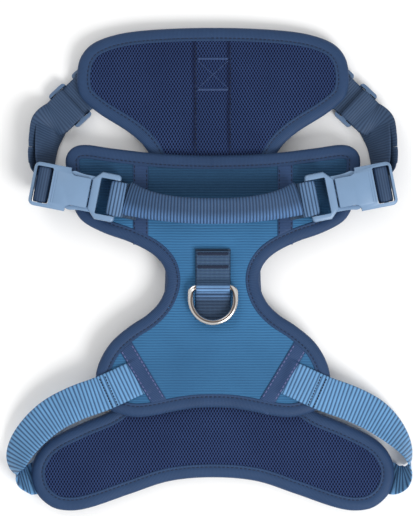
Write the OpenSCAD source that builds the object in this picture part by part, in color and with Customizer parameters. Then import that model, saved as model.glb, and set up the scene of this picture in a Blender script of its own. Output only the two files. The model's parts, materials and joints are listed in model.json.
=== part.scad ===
// No-pull dog harness, laid flat with its buckles closed. Units are millimetres.
// +Y points to the dog's neck, +Z up, origin on the floor under the middle of the harness.

/* [Panels] */
// Thickness of a padded panel over its edge binding
panel_t = 5.6; // [4.8:0.1:7]
// Thickness of one lip of the folded edge binding
binding_lip_t = 0.6; // [0.4:0.1:0.8]
// Width of the edge binding seen from above
binding_w = 9.6; // [8:0.1:10]
// Thickness of the ribbed outer fabric, and of the mesh lining
skin_t = 0.8; // [0.5:0.1:1]
// Space under the underbody panel that its straps, rings and sliders take up
under_gap = 7; // [7:0.5:10]
// Width of the narrow reinforcement tapes on the back panel
tape_w = 10.8; // [8:0.1:12]

/* [Webbing] */
// Width of the strap webbing
web_w = 25; // [24:0.5:26]
// Thickness of one layer of webbing
web_t = 1.5; // [1:0.1:1.6]

/* [Leash rings] */
// Wire diameter of the rear leash ring
rear_wire_d = 4.2; // [3.5:0.1:4.2]
// Wire diameter of the front leash ring
front_wire_d = 3.4; // [3:0.1:3.4]
// Distance between the centres of a ring's two straight sides
ring_w = 31.8; // [30:0.2:34]
// Distance from a ring's bar to the far end of its bow, along the wire's centre
ring_l = 25; // [23:0.5:27]

/* [Side release buckles] */
// Length of a closed buckle
buckle_l = 62; // [60:1:64]
// Thickness of a buckle
buckle_t = 11; // [10:0.5:12]
// Turn of each buckle in plan, outer end towards the neck
buckle_turn = 11; // [8:1:13]
// Middle of each buckle, to the side
buckle_x = 98; // [96:0.5:99]
// Middle of each buckle, towards the neck
buckle_y = 55.5; // [53:0.5:57]

/* [Grab handle] */
// Rise of the handle's crown over its sewn ends
handle_rise = 10; // [8:0.5:14]
// Lean of the handle's crown towards the tail
handle_lean = 8.5; // [6:0.5:10]

/* [Hidden] */
SPANS = 3;
SWEEP_SPANS = 4;
eps = 0.01;
fit_gap = 0.15;
body_gap = 0.3;

// Levels, from the floor up
under_z = under_gap;
under_fabric_z = under_z + binding_lip_t;
under_top_z = under_z + panel_t;
back_z = under_top_z + 0.4;
back_top_z = back_z + panel_t;
back_face_z = back_top_z - binding_lip_t;
foam_t = panel_t - 2 * binding_lip_t - 2 * skin_t;
layer_inset = 1;

// Right half of the underbody panel's outline, from the neck edge to the tail edge
UNDERBODY_HALF = [
    [0, 173], [36, 172], [65, 169], [84.5, 162.5], [94, 153], [97.3, 141], [97, 130], [93.5, 121.5],
    [81, 111], [58.4, 96.5], [46, 83], [38.5, 62], [35, 40], [34, 5], [35.7, -25], [43, -58],
    [54, -83], [71.4, -100.4], [94, -110.5], [115.7, -121.4], [126.5, -133], [130, -146.7],
    [126, -160.7], [115.6, -170.3], [102.5, -173], [87, -170.6], [58.6, -161], [30.7, -152], [0, -149.4]
];

// Right half of the back panel's outline, from the neck edge to the tail edge
BACK_HALF = [
    [0, 81], [38, 82.3], [71, 86], [90, 88.6], [99.5, 86.8], [104.8, 80], [104.5, 68], [102, 53],
    [98, 41], [91.5, 33], [77, 25.5], [60, 19.5], [45, 12], [36.5, 4], [33.2, -5], [34, -14],
    [38.6, -24], [47, -32.6], [59, -40.5], [71.5, -51], [79.6, -63], [83.6, -76], [82.5, -89],
    [77, -98], [68, -103], [56, -105.6], [43, -104.6], [27, -101.4], [13, -99.2], [0, -98.7]
];

// Centre line and roll of the right belly strap: across, along, height, roll in degrees, width
BELLY_ROUTE = [
    [54, -77.4, 19.6, 0, web_w], [66, -82.8, 19.6, 0, web_w], [80, -89, 19.6, 0, web_w],
    [98, -95.6, 18.8, -6, web_w], [115, -104.2, 16.6, -20, web_w], [129, -116, 14.2, -42, web_w],
    [138.4, -129, 13.4, -66, web_w], [140.8, -141, 13.2, -88, web_w], [137.6, -148.6, 11.2, -118, 23],
    [131.4, -152, 6.2, -152, 22], [124.5, -151.4, 3.1, -176, 24], [117, -150, 2.9, -180, web_w],
    [108, -150, 2.9, -180, web_w], [97, -150, 2.9, -180, web_w]
];

// Straight stretch of the shoulder strap: slider, heading and the ring at its end
slider_x = 102.5;
slider_y = 117.5;
shoulder_heading = -43;
shoulder_strap_z = 5;
shoulder_ring_step = 21;

// Centre line and roll of the right shoulder strap past its straight stretch
function along_shoulder(s) = [
    slider_x + s * cos(shoulder_heading), slider_y + s * sin(shoulder_heading), shoulder_strap_z, 0, web_w
];
SHOULDER_ROUTE = [
    along_shoulder(-13.5), along_shoulder(-4), along_shoulder(5), along_shoulder(9), along_shoulder(12),
    [116.8, 101.6, 7.4, 22, 24], [119.6, 91, 9.6, 38, 22], [120.4, 80, 12, 30, 17],
    [121.6, 70, 14.6, 8, 13], [123.6, 60, 15.6, 0, 11], [124.6, 51, 15.8, 0, 11]
];

// Belly adjuster under each end of the belly band
belly_y = -150;
belly_strap_z = 2.9;
belly_slider_x = 111;
belly_ring_x = 88;

// Slider and strap ring frames
slider_l = 15;
slider_w = 31;
slider_half_t = 2.9;
slider_bar_l = 4.4;
slider_slot_l = 2.4;
strap_ring_l = 13;
strap_ring_w = 31;
strap_ring_t = 3;
strap_ring_bar = 3;
eye_wall = 1.1;

// Rear and front leash ring places
rear_bar_y = -12.9;
rear_base_z = back_face_z;
rear_loop_wall = 1.4;
rear_bar_z = rear_base_z + web_t + rear_loop_wall + 0.25 + rear_wire_d / 2;
rear_loop_end_y = 12.9;
rear_strip_end_y = -36;
front_bar_y = 124;
front_loop_wall = 1.1;
front_bar_z = front_loop_wall + 0.2 + front_wire_d / 2;
front_strip_y = [84, 162];
elbow_r = 4;

// Buckle, in its own frame: u outward along it, v across it, height from its middle
buckle_z = back_top_z + 0.4 + buckle_t / 2;
mouth_u = -10.5;
outer_u = buckle_l / 2;
inner_u = -buckle_l / 2;
clip_face_u = -13.9;
arm_root_u = -12;
arm_root_v = 11.2;
arm_root_r = 1.6;
arm_half_t = 3.1;
cavity_half_w = 13.2;
cavity_half_t = 3.4;
slot_half_w = 13;
bar_half_t = 1.7;
strap_bar_u = 23;
strap_bar_l = 3.2;
strap_bar_half_t = 1.9;

COLOUR_NAVY = [0.09, 0.14, 0.26];
COLOUR_MESH = [0.06, 0.09, 0.2];
COLOUR_BLUE = [0.11, 0.28, 0.47];
COLOUR_STRAP = [0.23, 0.41, 0.62];
COLOUR_PLASTIC = [0.4, 0.53, 0.69];
COLOUR_FOAM = [0.75, 0.77, 0.8];
COLOUR_STEEL = [0.8, 0.81, 0.83];

// Both halves of an outline, from its right half
function both_halves(half) = concat(
    half, [for (i = [len(half) - 2 : -1 : 1]) [-half[i][0], half[i][1]]]
);

// A point at u, from 0 to 1, on the smooth curve between the points b and c
function curve_point(a, b, c, d, u) = 0.5 * (
    2 * b + (c - a) * u + (2 * a - 5 * b + 4 * c - d) * u * u + (3 * b - a - 3 * c + d) * u * u * u
);

// A closed smooth curve through points
function closed_curve(points, spans = SPANS) = let (n = len(points)) [
    for (i = [0 : n - 1]) for (k = [0 : spans - 1])
        curve_point(points[(i + n - 1) % n], points[i], points[(i + 1) % n], points[(i + 2) % n], k / spans)
];

// An open smooth curve through points
function open_curve(points, spans = SWEEP_SPANS) = let (n = len(points)) concat(
    [
        for (i = [0 : n - 2]) for (k = [0 : spans - 1])
            curve_point(points[max(i - 1, 0)], points[i], points[i + 1], points[min(i + 2, n - 1)], k / spans)
    ],
    [points[n - 1]]
);

function unit(v) = v / norm(v);

// A clockwise outline moved inwards by d
function inset(outline, d) = let (n = len(outline)) [
    for (i = [0 : n - 1])
        let (t = unit(outline[(i + 1) % n] - outline[(i + n - 1) % n])) outline[i] + d * [t[1], -t[0]]
];

UNDERBODY = closed_curve(both_halves(UNDERBODY_HALF));
BACK = closed_curve(both_halves(BACK_HALF));

// A flat layer of an outline, moved inwards by d, between two levels
module slab(outline, d, low, high) {
    translate([0, 0, low]) linear_extrude(high - low) polygon(inset(outline, d));
}

// Folded binding round a panel's edge: two lips and a rim, open in the middle
module edge_binding(outline, low) {
    difference() {
        slab(outline, 0, low, low + panel_t);
        slab(outline, layer_inset, low + binding_lip_t, low + panel_t - binding_lip_t);
        slab(outline, binding_w, low - 1, low + panel_t + 1);
    }
}

// Four corners of a strap's section at one station
function section(here, ahead, behind, thick) = let (
    t = unit([for (k = [0 : 2]) ahead[k] - behind[k]]),
    up = unit([0, 0, 1] - t[2] * t),
    side = cross(up, t),
    n = up * cos(here[3]) + cross(t, up) * sin(here[3]),
    a = cross(n, t) * here[4] / 2,
    h = n * thick / 2,
    c = [here[0], here[1], here[2]]
) [c - a - h, c + a - h, c + a + h, c - a + h];

// Flat webbing swept along a route of stations
module webbing(route, thick = web_t) {
    stations = open_curve(route);
    last = len(stations) - 1;
    corners = [
        for (i = [0 : last])
            each section(stations[i], stations[min(i + 1, last)], stations[max(i - 1, 0)], thick)
    ];
    skin = [
        for (i = [0 : last - 1]) for (k = [0 : 3])
            let (here = 4 * i + k, next = 4 * i + (k + 1) % 4)
            each [[here, here + 4, next + 4], [here, next + 4, next]]
    ];
    ends = [[0, 1, 2, 3], [for (k = [3 : -1 : 0]) 4 * last + k]];
    polyhedron(corners, concat(skin, ends));
}

// The left piece of a pair, or the right one
module on_side(side) {
    if (side < 0) mirror([1, 0, 0]) children();
    else children();
}

// A rectangle centred at the origin with round corners
module round_rect(l, w, r) {
    square([l - 2 * r, w], center = true);
    square([l, w - 2 * r], center = true);
    for (x = [-1, 1]) for (y = [-1, 1])
        translate([x * (l / 2 - r), y * (w / 2 - r)]) circle(r, $fn = 32);
}

// Webbing eye round a flat bar at the origin, with a tail along +X at the level tail_z
module bar_eye(bar_l, bar_t, wall, tail_l, tail_z, tail_t, w) {
    translate([0, w / 2, 0]) rotate([90, 0, 0]) linear_extrude(w) difference() {
        union() {
            round_rect(bar_l + 2 * (fit_gap + wall), bar_t + 2 * (fit_gap + wall), wall);
            translate([bar_l / 2, tail_z - tail_t / 2]) square([tail_l, tail_t]);
        }
        square([bar_l + 2 * fit_gap, bar_t + 2 * fit_gap], center = true);
    }
}

// Panels

module underbody_outer_fabric() {
    color(COLOUR_BLUE) slab(UNDERBODY, layer_inset, under_fabric_z, under_fabric_z + skin_t);
}

module underbody_foam() {
    color(COLOUR_FOAM)
        slab(UNDERBODY, layer_inset, under_fabric_z + skin_t, under_fabric_z + skin_t + foam_t);
}

module underbody_mesh_lining() {
    color(COLOUR_MESH)
        slab(UNDERBODY, layer_inset, under_fabric_z + skin_t + foam_t, under_top_z - binding_lip_t);
}

module underbody_edge_binding() {
    color(COLOUR_NAVY) edge_binding(UNDERBODY, under_z);
}

module back_mesh_lining() {
    low = back_z + binding_lip_t;
    color(COLOUR_MESH) slab(BACK, layer_inset, low, low + skin_t);
}

module back_foam() {
    low = back_z + binding_lip_t + skin_t;
    color(COLOUR_FOAM) slab(BACK, layer_inset, low, low + foam_t);
}

module back_outer_fabric() {
    color(COLOUR_BLUE) slab(BACK, layer_inset, back_face_z - skin_t, back_face_z);
}

module back_edge_binding() {
    color(COLOUR_NAVY) edge_binding(BACK, back_z);
}

// Tapes sewn on the back panel's face, inside its binding

module wing_tape(side) {
    tape_x = 51.5;
    color(COLOUR_NAVY) on_side(side) translate([0, 0, back_face_z]) linear_extrude(skin_t)
        intersection() {
            polygon(inset(BACK, binding_w));
            translate([tape_x - tape_w / 2, 10]) square([tape_w, 70]);
        }
}

module corner_tape(side) {
    inner_end = [44.5, -74];
    tape_angle = 59;
    strap_angle = -24.4;
    color(COLOUR_NAVY) on_side(side) difference() {
        translate([0, 0, back_face_z]) linear_extrude(3) intersection() {
            polygon(inset(BACK, binding_w));
            translate(inner_end) rotate(tape_angle) translate([-40, -tape_w]) square([80, tape_w]);
        }
        translate([54, -77.4, 19.6]) rotate(strap_angle)
            translate([-2, -web_w / 2 - body_gap, -5]) cube([60, web_w + 2 * body_gap, 5 + web_t / 2]);
    }
}

// Rear leash ring

// Closed D ring in the XY plane: bar on the X axis, bow towards -Y
module d_ring(wire_d) {
    half = ring_w / 2;
    for (s = [-1, 1]) {
        translate([s * (half - elbow_r), -elbow_r, 0]) rotate(s > 0 ? 0 : 90)
            rotate_extrude(angle = 90, $fn = 64) translate([elbow_r, 0]) circle(d = wire_d, $fn = 32);
        translate([s * half, -elbow_r, 0]) rotate([90, 0, 0])
            cylinder(h = ring_l - half - elbow_r, d = wire_d, $fn = 32);
    }
    translate([elbow_r - half, 0, 0]) rotate([0, 90, 0])
        cylinder(h = ring_w - 2 * elbow_r, d = wire_d, $fn = 32);
    translate([0, half - ring_l, 0]) rotate(180)
        rotate_extrude(angle = 180, $fn = 96) translate([half, 0]) circle(d = wire_d, $fn = 32);
}

module rear_leash_ring() {
    color(COLOUR_STEEL) translate([0, rear_bar_y, rear_bar_z]) d_ring(rear_wire_d);
}

// Webbing loop round a ring's bar: an eye and a doubled tail towards +Y
module ring_loop(wire_d, wall, clear, tail_l, tail_low, tail_high) {
    eye_r = wire_d / 2 + clear;
    w = 24;
    translate([-w / 2, 0, 0]) rotate([90, 0, 90]) linear_extrude(w) difference() {
        union() {
            circle(eye_r + wall, $fn = 64);
            translate([0, tail_low]) square([tail_l, tail_high - tail_low]);
        }
        circle(eye_r, $fn = 64);
    }
}

module rear_ring_loop() {
    tail_low = rear_base_z + web_t - rear_bar_z;
    color(COLOUR_STRAP) translate([0, rear_bar_y, rear_bar_z])
        ring_loop(rear_wire_d, rear_loop_wall, 0.25, rear_loop_end_y - rear_bar_y, tail_low, tail_low + 2.8);
}

module rear_ring_rest_strip() {
    color(COLOUR_NAVY) translate([-web_w / 2, rear_strip_end_y, rear_base_z])
        cube([web_w, rear_loop_end_y - rear_strip_end_y + 1.5, web_t]);
}

// Front leash ring, under the chest

module front_ring_strip() {
    color(COLOUR_NAVY) translate([-web_w / 2, front_strip_y[0], under_fabric_z - web_t])
        cube([web_w, front_strip_y[1] - front_strip_y[0], web_t]);
}

module front_ring_loop() {
    tail_high = under_fabric_z - web_t - front_bar_z;
    color(COLOUR_NAVY) translate([0, front_bar_y, front_bar_z])
        ring_loop(front_wire_d, front_loop_wall, 0.2, 26, tail_high - 2.6, tail_high);
}

module front_leash_ring() {
    color(COLOUR_STEEL) translate([0, front_bar_y, front_bar_z]) d_ring(front_wire_d);
}

// Grab handle: an arch of webbing over the back, leaning to the tail

module grab_handle() {
    end_y = 49.5;
    end_z = back_top_z + 6.9;
    half_l = 58.6;
    color(COLOUR_STRAP) webbing([
        for (k = [-4 : 4])
            let (f = 1 - pow(abs(k) / 4, 2.4))
            [half_l * k / 4, end_y - handle_lean * f, end_z + handle_rise * f, 28 + 22 * f, 20 + 1.5 * f]
    ], 2.6);
}

// Buckles

module in_buckle(side) {
    on_side(side) translate([buckle_x, buckle_y, buckle_z]) rotate(buckle_turn) children();
}

// Webbing eye round the male clip's inner bar, with its stitched stack of layers
module buckle_tab(side) {
    wall = 1.5;
    eye_half_t = bar_half_t + fit_gap + wall;
    stack_l = 6;
    stack_u = inner_u - 0.3 - stack_l;
    stack_low = back_top_z + 0.2 - buckle_z;
    bar_l = 3.2;
    color(COLOUR_STRAP) in_buckle(side) translate([0, web_w / 2 - 0.5, 0]) rotate([90, 0, 0])
        linear_extrude(web_w - 1) difference() {
            union() {
                translate([inner_u + bar_l / 2, 0])
                    round_rect(bar_l + 2 * (fit_gap + wall), 2 * eye_half_t, wall);
                polygon([
                    [stack_u, stack_low], [stack_u + stack_l - 1, stack_low], [inner_u + bar_l / 2, -eye_half_t],
                    [inner_u + bar_l / 2, eye_half_t], [stack_u, eye_half_t - 1]
                ]);
            }
            translate([inner_u + bar_l / 2, 0])
                square([bar_l + 2 * fit_gap, 2 * (bar_half_t + fit_gap)], center = true);
        }
}

// Male half: frame with a webbing slot and a centre tongue
module male_clip(side) {
    frame_half_w = 17;
    neck_half_w = 14.6;
    frame_half_t = 4.4;
    bar_l = 3.2;
    slot_l = 11;
    tongue_u = 11;
    color(COLOUR_PLASTIC) in_buckle(side) {
        difference() {
            translate([0, 0, -frame_half_t]) linear_extrude(2 * frame_half_t) polygon([
                [inner_u, -frame_half_w + 2], [inner_u + 2, -frame_half_w], [-20, -frame_half_w],
                [clip_face_u, -neck_half_w], [clip_face_u, neck_half_w],
                [-20, frame_half_w], [inner_u + 2, frame_half_w], [inner_u, frame_half_w - 2]
            ]);
            translate([inner_u + bar_l, -slot_half_w, -10]) cube([slot_l, 2 * slot_half_w, 20]);
            for (s = [-1, 1])
                translate([inner_u - 1, -slot_half_w, s > 0 ? bar_half_t : -10 - bar_half_t])
                    cube([bar_l + 1 + eps, 2 * slot_half_w, 10]);
        }
        translate([clip_face_u - eps, -3.2, -2.2]) cube([tongue_u - clip_face_u, 6.4, 4.4]);
    }
}

// Outer profile of a latch arm, rising to its finger pad and falling to its tip
function arm_outer(d) = d < 4 ? 12.75
    : d < 13.5 ? 12.75 + 1.15 * pow((d - 4) / 9.5, 2)
    : 13.9 - 3.2 * (1 - cos(90 * (d - 13.5) / 6.5));

// Spring arm of the male half, from its root to its tip
module latch_arm(side, upper) {
    arm_l = 20;
    outer = [for (d = [1 : 1 : arm_l]) [arm_root_u + d, arm_outer(d)]];
    inner = [[arm_root_u + arm_l, 10.1], [arm_root_u + 15, 10.9], [arm_root_u + 8, 10.2]];
    root = [for (a = [-90 : -15 : -270]) [arm_root_u, arm_root_v] + (arm_root_r - 0.05) * [cos(a), sin(a)]];
    color(COLOUR_PLASTIC) in_buckle(side) mirror([0, upper ? 0 : 1, 0])
        translate([0, 0, -arm_half_t]) linear_extrude(2 * arm_half_t) polygon(concat(outer, inner, root));
}

// Female half: a flat socket with finger scoops and a strap slot
module female_shell(side) {
    color(COLOUR_PLASTIC) in_buckle(side) {
        translate([strap_bar_u - strap_bar_l / 2, -slot_half_w - 1, -strap_bar_half_t])
            cube([strap_bar_l, 2 * slot_half_w + 2, 2 * strap_bar_half_t]);
        female_body();
    }
}

// The socket's body, open at its mouth
module female_body() {
    half_w = 15.6;
    end_half_w = 14.9;
    scoop_half_w = 10.6;
    scoop_end_u = 5;
    ring_end_u = -8;
    ring_half_w = 14.8;
    slot_u = 17;
    slot_l = 12.2;
    scoop_r = 4;
    difference() {
        translate([0, 0, -buckle_t / 2]) linear_extrude(buckle_t) difference() {
            polygon([
                [mouth_u, -ring_half_w], [ring_end_u, -ring_half_w], [scoop_end_u, -half_w],
                [outer_u - 3, -end_half_w], [outer_u, -end_half_w + 3],
                [outer_u, end_half_w - 3], [outer_u - 3, end_half_w],
                [scoop_end_u, half_w], [ring_end_u, ring_half_w], [mouth_u, ring_half_w]
            ]);
            for (s = [-1, 1]) {
                translate([ring_end_u, s > 0 ? scoop_half_w + scoop_r : -scoop_half_w - scoop_r - 10])
                    square([scoop_end_u - ring_end_u, 10]);
                translate([ring_end_u + scoop_r, s * (scoop_half_w + scoop_r)])
                    circle(scoop_r, $fn = 48);
                translate([scoop_end_u - scoop_r, s * (scoop_half_w + scoop_r)])
                    circle(scoop_r, $fn = 48);
                translate([ring_end_u + scoop_r, s > 0 ? scoop_half_w : -scoop_half_w - scoop_r])
                    square([scoop_end_u - ring_end_u - 2 * scoop_r, scoop_r]);
            }
            translate([slot_u, -slot_half_w]) square([slot_l, 2 * slot_half_w]);
        }
        translate([mouth_u - 1, -cavity_half_w, -cavity_half_t])
            cube([14 - mouth_u, 2 * cavity_half_w, 2 * cavity_half_t]);
    }
}

// Shoulder straps

module shoulder_strap(side) {
    color(COLOUR_NAVY) {
        on_side(side) webbing(SHOULDER_ROUTE);
        on_side(side) translate([slider_x, slider_y, 0]) rotate(shoulder_heading)
            translate([-shoulder_ring_step + strap_ring_l / 2 - strap_ring_bar / 2, 0, shoulder_strap_z - 1.1])
                bar_eye(strap_ring_bar, strap_ring_t, eye_wall, 5, 1.1, web_t, web_w);
        in_buckle(side) translate([strap_bar_u, 0, 0]) {
            bar_eye(strap_bar_l, 2 * strap_bar_half_t, eye_wall, 0.1, 0, 0.2, web_w);
            translate([-2.7, -11, -9.9]) cube([5.4, 22, 6.9]);
        }
    }
}

// Three-bar slider: the strap passes over its two end bars and under its middle bar
module slider() {
    opening = web_w + 1.2;
    difference() {
        translate([0, 0, -slider_half_t]) linear_extrude(2 * slider_half_t) round_rect(slider_l, slider_w, 2.5);
        for (s = [-1, 1])
            translate([s > 0 ? slider_bar_l / 2 : -slider_l, -opening / 2, -web_t / 2 - body_gap])
                cube([slider_l - slider_bar_l / 2, opening, 10]);
        translate([-slider_bar_l / 2 - slider_slot_l, -opening / 2, -10])
            cube([slider_bar_l + 2 * slider_slot_l, opening, 10 + web_t / 2 + body_gap]);
    }
}

// Rectangular strap ring, lying flat
module strap_ring() {
    translate([0, 0, -strap_ring_t / 2]) linear_extrude(strap_ring_t) difference() {
        round_rect(strap_ring_l, strap_ring_w, 2.5);
        square([strap_ring_l - 2 * strap_ring_bar, web_w + 1], center = true);
    }
}

module on_shoulder(side, step, z) {
    on_side(side) translate([slider_x, slider_y, z]) rotate(shoulder_heading)
        translate([step, 0, 0]) children();
}

module shoulder_slider(side) {
    color(COLOUR_PLASTIC) on_shoulder(side, 0, shoulder_strap_z) slider();
}

module shoulder_ring(side) {
    color(COLOUR_PLASTIC) on_shoulder(side, -shoulder_ring_step, shoulder_strap_z - 1.1) strap_ring();
}

module chest_tab(side) {
    color(COLOUR_NAVY)
        on_shoulder(side, -shoulder_ring_step - strap_ring_l / 2 + strap_ring_bar / 2, shoulder_strap_z - 1.1)
            mirror([1, 0, 0])
                bar_eye(strap_ring_bar, strap_ring_t, eye_wall, 16, 1.5, 2.4, web_w);
}

// Belly straps

module belly_strap(side) {
    color(COLOUR_STRAP) on_side(side) {
        webbing(BELLY_ROUTE);
        translate([belly_ring_x + strap_ring_l / 2 - strap_ring_bar / 2, belly_y, belly_strap_z])
            bar_eye(strap_ring_bar, strap_ring_t, eye_wall, 8, 0, web_t, web_w);
    }
}

module belly_slider(side) {
    color(COLOUR_PLASTIC) on_side(side) translate([belly_slider_x, belly_y, belly_strap_z]) slider();
}

module belly_ring(side) {
    color(COLOUR_PLASTIC) on_side(side) translate([belly_ring_x, belly_y, belly_strap_z]) strap_ring();
}

module belly_tab(side) {
    color(COLOUR_NAVY) on_side(side)
        translate([belly_ring_x - strap_ring_l / 2 + strap_ring_bar / 2, belly_y, belly_strap_z])
            mirror([1, 0, 0]) bar_eye(strap_ring_bar, strap_ring_t, eye_wall, 26, 2.4, 3.4, web_w);
}

// Thread bars that lock the rear ring's loop to the back panel
module bar_tacks() {
    tack_l = 20;
    tack_z = rear_base_z + web_t + 2.8;
    color(COLOUR_NAVY) for (y = [10.9, 1.6])
        translate([-tack_l / 2, y - 0.9, tack_z]) cube([tack_l, 1.8, 0.5]);
}

underbody_outer_fabric();
underbody_foam();
underbody_mesh_lining();
underbody_edge_binding();
back_mesh_lining();
back_foam();
back_outer_fabric();
back_edge_binding();
wing_tape(-1);  // wing_tape_left
wing_tape(1);  // wing_tape_right
corner_tape(-1);  // corner_tape_left
corner_tape(1);  // corner_tape_right
rear_ring_rest_strip();
rear_ring_loop();
rear_leash_ring();
front_ring_strip();
front_ring_loop();
front_leash_ring();
grab_handle();
buckle_tab(-1);  // buckle_tab_left
buckle_tab(1);  // buckle_tab_right
male_clip(-1);  // male_clip_left
male_clip(1);  // male_clip_right
latch_arm(-1, true);  // latch_arm_left_upper
latch_arm(-1, false);  // latch_arm_left_lower
latch_arm(1, true);  // latch_arm_right_upper
latch_arm(1, false);  // latch_arm_right_lower
female_shell(-1);  // female_shell_left
female_shell(1);  // female_shell_right
shoulder_strap(-1);  // shoulder_strap_left
shoulder_strap(1);  // shoulder_strap_right
shoulder_slider(-1);  // shoulder_slider_left
shoulder_slider(1);  // shoulder_slider_right
shoulder_ring(-1);  // shoulder_ring_left
shoulder_ring(1);  // shoulder_ring_right
chest_tab(-1);  // chest_tab_left
chest_tab(1);  // chest_tab_right
belly_strap(-1);  // belly_strap_left
belly_strap(1);  // belly_strap_right
belly_slider(-1);  // belly_slider_left
belly_slider(1);  // belly_slider_right
belly_ring(-1);  // belly_ring_left
belly_ring(1);  // belly_ring_right
belly_tab(-1);  // belly_tab_left
belly_tab(1);  // belly_tab_right
bar_tacks();
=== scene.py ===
# %% [markdown]
# # A no-pull dog harness, laid flat on a pale table
#
# The harness is two padded panels that meet at a narrow waist. The lower one goes under the
# dog's chest and belly, the upper one lies on its back. Straps, buckles and two metal rings
# join them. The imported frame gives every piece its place, in metres, with the dog's neck
# towards +Y. This lesson keeps that frame untouched and builds the fabric, webbing and
# moulded pieces that stand for its plain solids.

# %% Load the frame
import json
import math

import bmesh
import bpy
import numpy as np
from mathutils import Matrix, Vector, geometry, noise

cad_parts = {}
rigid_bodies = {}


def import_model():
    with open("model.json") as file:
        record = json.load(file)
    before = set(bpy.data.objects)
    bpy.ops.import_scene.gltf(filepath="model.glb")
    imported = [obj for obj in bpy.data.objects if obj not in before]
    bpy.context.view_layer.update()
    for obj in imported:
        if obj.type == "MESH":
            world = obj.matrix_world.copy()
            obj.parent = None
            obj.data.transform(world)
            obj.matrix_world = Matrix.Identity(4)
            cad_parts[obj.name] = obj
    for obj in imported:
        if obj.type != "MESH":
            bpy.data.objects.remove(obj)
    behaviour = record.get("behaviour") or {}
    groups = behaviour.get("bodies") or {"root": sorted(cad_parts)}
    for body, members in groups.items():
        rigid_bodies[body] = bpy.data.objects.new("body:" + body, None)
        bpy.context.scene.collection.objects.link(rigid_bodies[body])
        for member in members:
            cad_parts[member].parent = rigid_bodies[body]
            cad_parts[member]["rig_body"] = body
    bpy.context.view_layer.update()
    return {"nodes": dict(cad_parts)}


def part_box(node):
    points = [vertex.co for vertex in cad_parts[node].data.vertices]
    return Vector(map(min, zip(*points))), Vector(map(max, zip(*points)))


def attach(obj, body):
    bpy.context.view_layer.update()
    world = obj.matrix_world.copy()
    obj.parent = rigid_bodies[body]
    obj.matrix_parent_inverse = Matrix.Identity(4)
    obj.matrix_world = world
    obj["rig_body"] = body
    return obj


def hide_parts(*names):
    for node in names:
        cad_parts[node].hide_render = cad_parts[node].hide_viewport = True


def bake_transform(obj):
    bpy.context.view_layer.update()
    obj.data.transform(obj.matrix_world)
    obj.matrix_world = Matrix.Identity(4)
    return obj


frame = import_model()
nodes = frame["nodes"]

# %% [markdown]
# ## Working scale
#
# A harness is measured in millimetres, and Blender's scene is in metres. Shapes are worked
# out in millimetres here, and each finished mesh is scaled once as it is put in its place,
# so that every object ends at the origin, unturned and unscaled.

# %% Millimetres, and what is selected
MM = 0.001


def level(node, side):
    """The lowest or highest level of a frame node, in millimetres."""
    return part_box(node)[side][2] / MM


def deselect():
    for o in bpy.context.selected_objects:
        o.select_set(False)


deselect()
UNDER_LOW, UNDER_HIGH = level("underbody_edge_binding", 0), level("underbody_edge_binding", 1)
BACK_LOW, BACK_HIGH = level("back_edge_binding", 0), level("back_edge_binding", 1)
print(
    "underbody from", round(UNDER_LOW, 2), "to", round(UNDER_HIGH, 2), "mm, back panel to",
    round(BACK_HIGH, 2)
)

# %% [markdown]
# ## Camera
#
# The camera looks straight down on the harness, from far enough for the outlines to keep
# their proportions, with the neck edge at the top of the frame.

# %% Camera
camera_lens = bpy.data.cameras.new("camera")
camera_lens.sensor_width = 36
camera_lens.lens = 146.6
camera_lens.clip_start = 0.01
camera = bpy.data.objects.new("camera", camera_lens)
bpy.context.scene.collection.objects.link(camera)
camera.location = (-0.0046, 0.0079, 1.515)
bpy.context.scene.camera = camera
print("camera at", tuple(round(c, 3) for c in camera.location))

# %% [markdown]
# ## Light and floor
#
# Product light is soft and nearly shadowless: a bright surround does most of the work. It
# is darker near the horizon, which gives the steel rings something to reflect. The key lamp
# stands to the right, at the tail end, and leaves a faint shade at the upper left of each
# piece. The floor is pale and matt.

# %% Light and floor
KEY_PLACE = Vector((0.85, -1.0, 1.25))
KEY_POWER = 23.0
BACK_PLACE = (-0.9, 1.2, 1.3)
BACK_POWER = 6.0
SURROUND = 0.74


def area_lamp(name, place, size, power, colour=(1, 1, 1)):
    """A round soft lamp at place, aimed at the harness."""
    data = bpy.data.lights.new(name, "AREA")
    data.shape = "DISK"
    data.size = size
    data.energy = power
    data.color = colour
    lamp = bpy.data.objects.new(name, data)
    bpy.context.scene.collection.objects.link(lamp)
    lamp.location = place
    lamp.rotation_euler = (-Vector(place)).to_track_quat("-Z", "Y").to_euler()
    return lamp


area_lamp("key_lamp", KEY_PLACE, 0.9, KEY_POWER)
area_lamp("back_lamp", BACK_PLACE, 1.2, BACK_POWER)
world = bpy.data.worlds.new("surround")
world.use_nodes = True
surround = world.node_tree.nodes["Background"]
sky_place = world.node_tree.nodes.new("ShaderNodeTexCoord")
sky_parts = world.node_tree.nodes.new("ShaderNodeSeparateXYZ")
sky_ramp = world.node_tree.nodes.new("ShaderNodeMapRange")
sky_ramp.interpolation_type = "SMOOTHSTEP"
for name, value in (("From Min", 0.05), ("From Max", 0.55), ("To Min", 0.2 * SURROUND), ("To Max", SURROUND)):
    sky_ramp.inputs[name].default_value = value
world.node_tree.links.new(sky_place.outputs["Generated"], sky_parts.inputs[0])
world.node_tree.links.new(sky_parts.outputs["Z"], sky_ramp.inputs["Value"])
world.node_tree.links.new(sky_ramp.outputs["Result"], surround.inputs["Strength"])
surround.inputs["Color"].default_value = (1, 1, 1, 1)
bpy.context.scene.world = world
bpy.context.scene.view_settings.view_transform = "Standard"

# %% [markdown]
# ## Shader arithmetic
#
# Weave, ribs and mesh holes are all short formulas of where a point is. One small class
# wraps a shader socket, so a formula is written as plain arithmetic and adds its own Math
# nodes. Every other node comes from one method.

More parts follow.
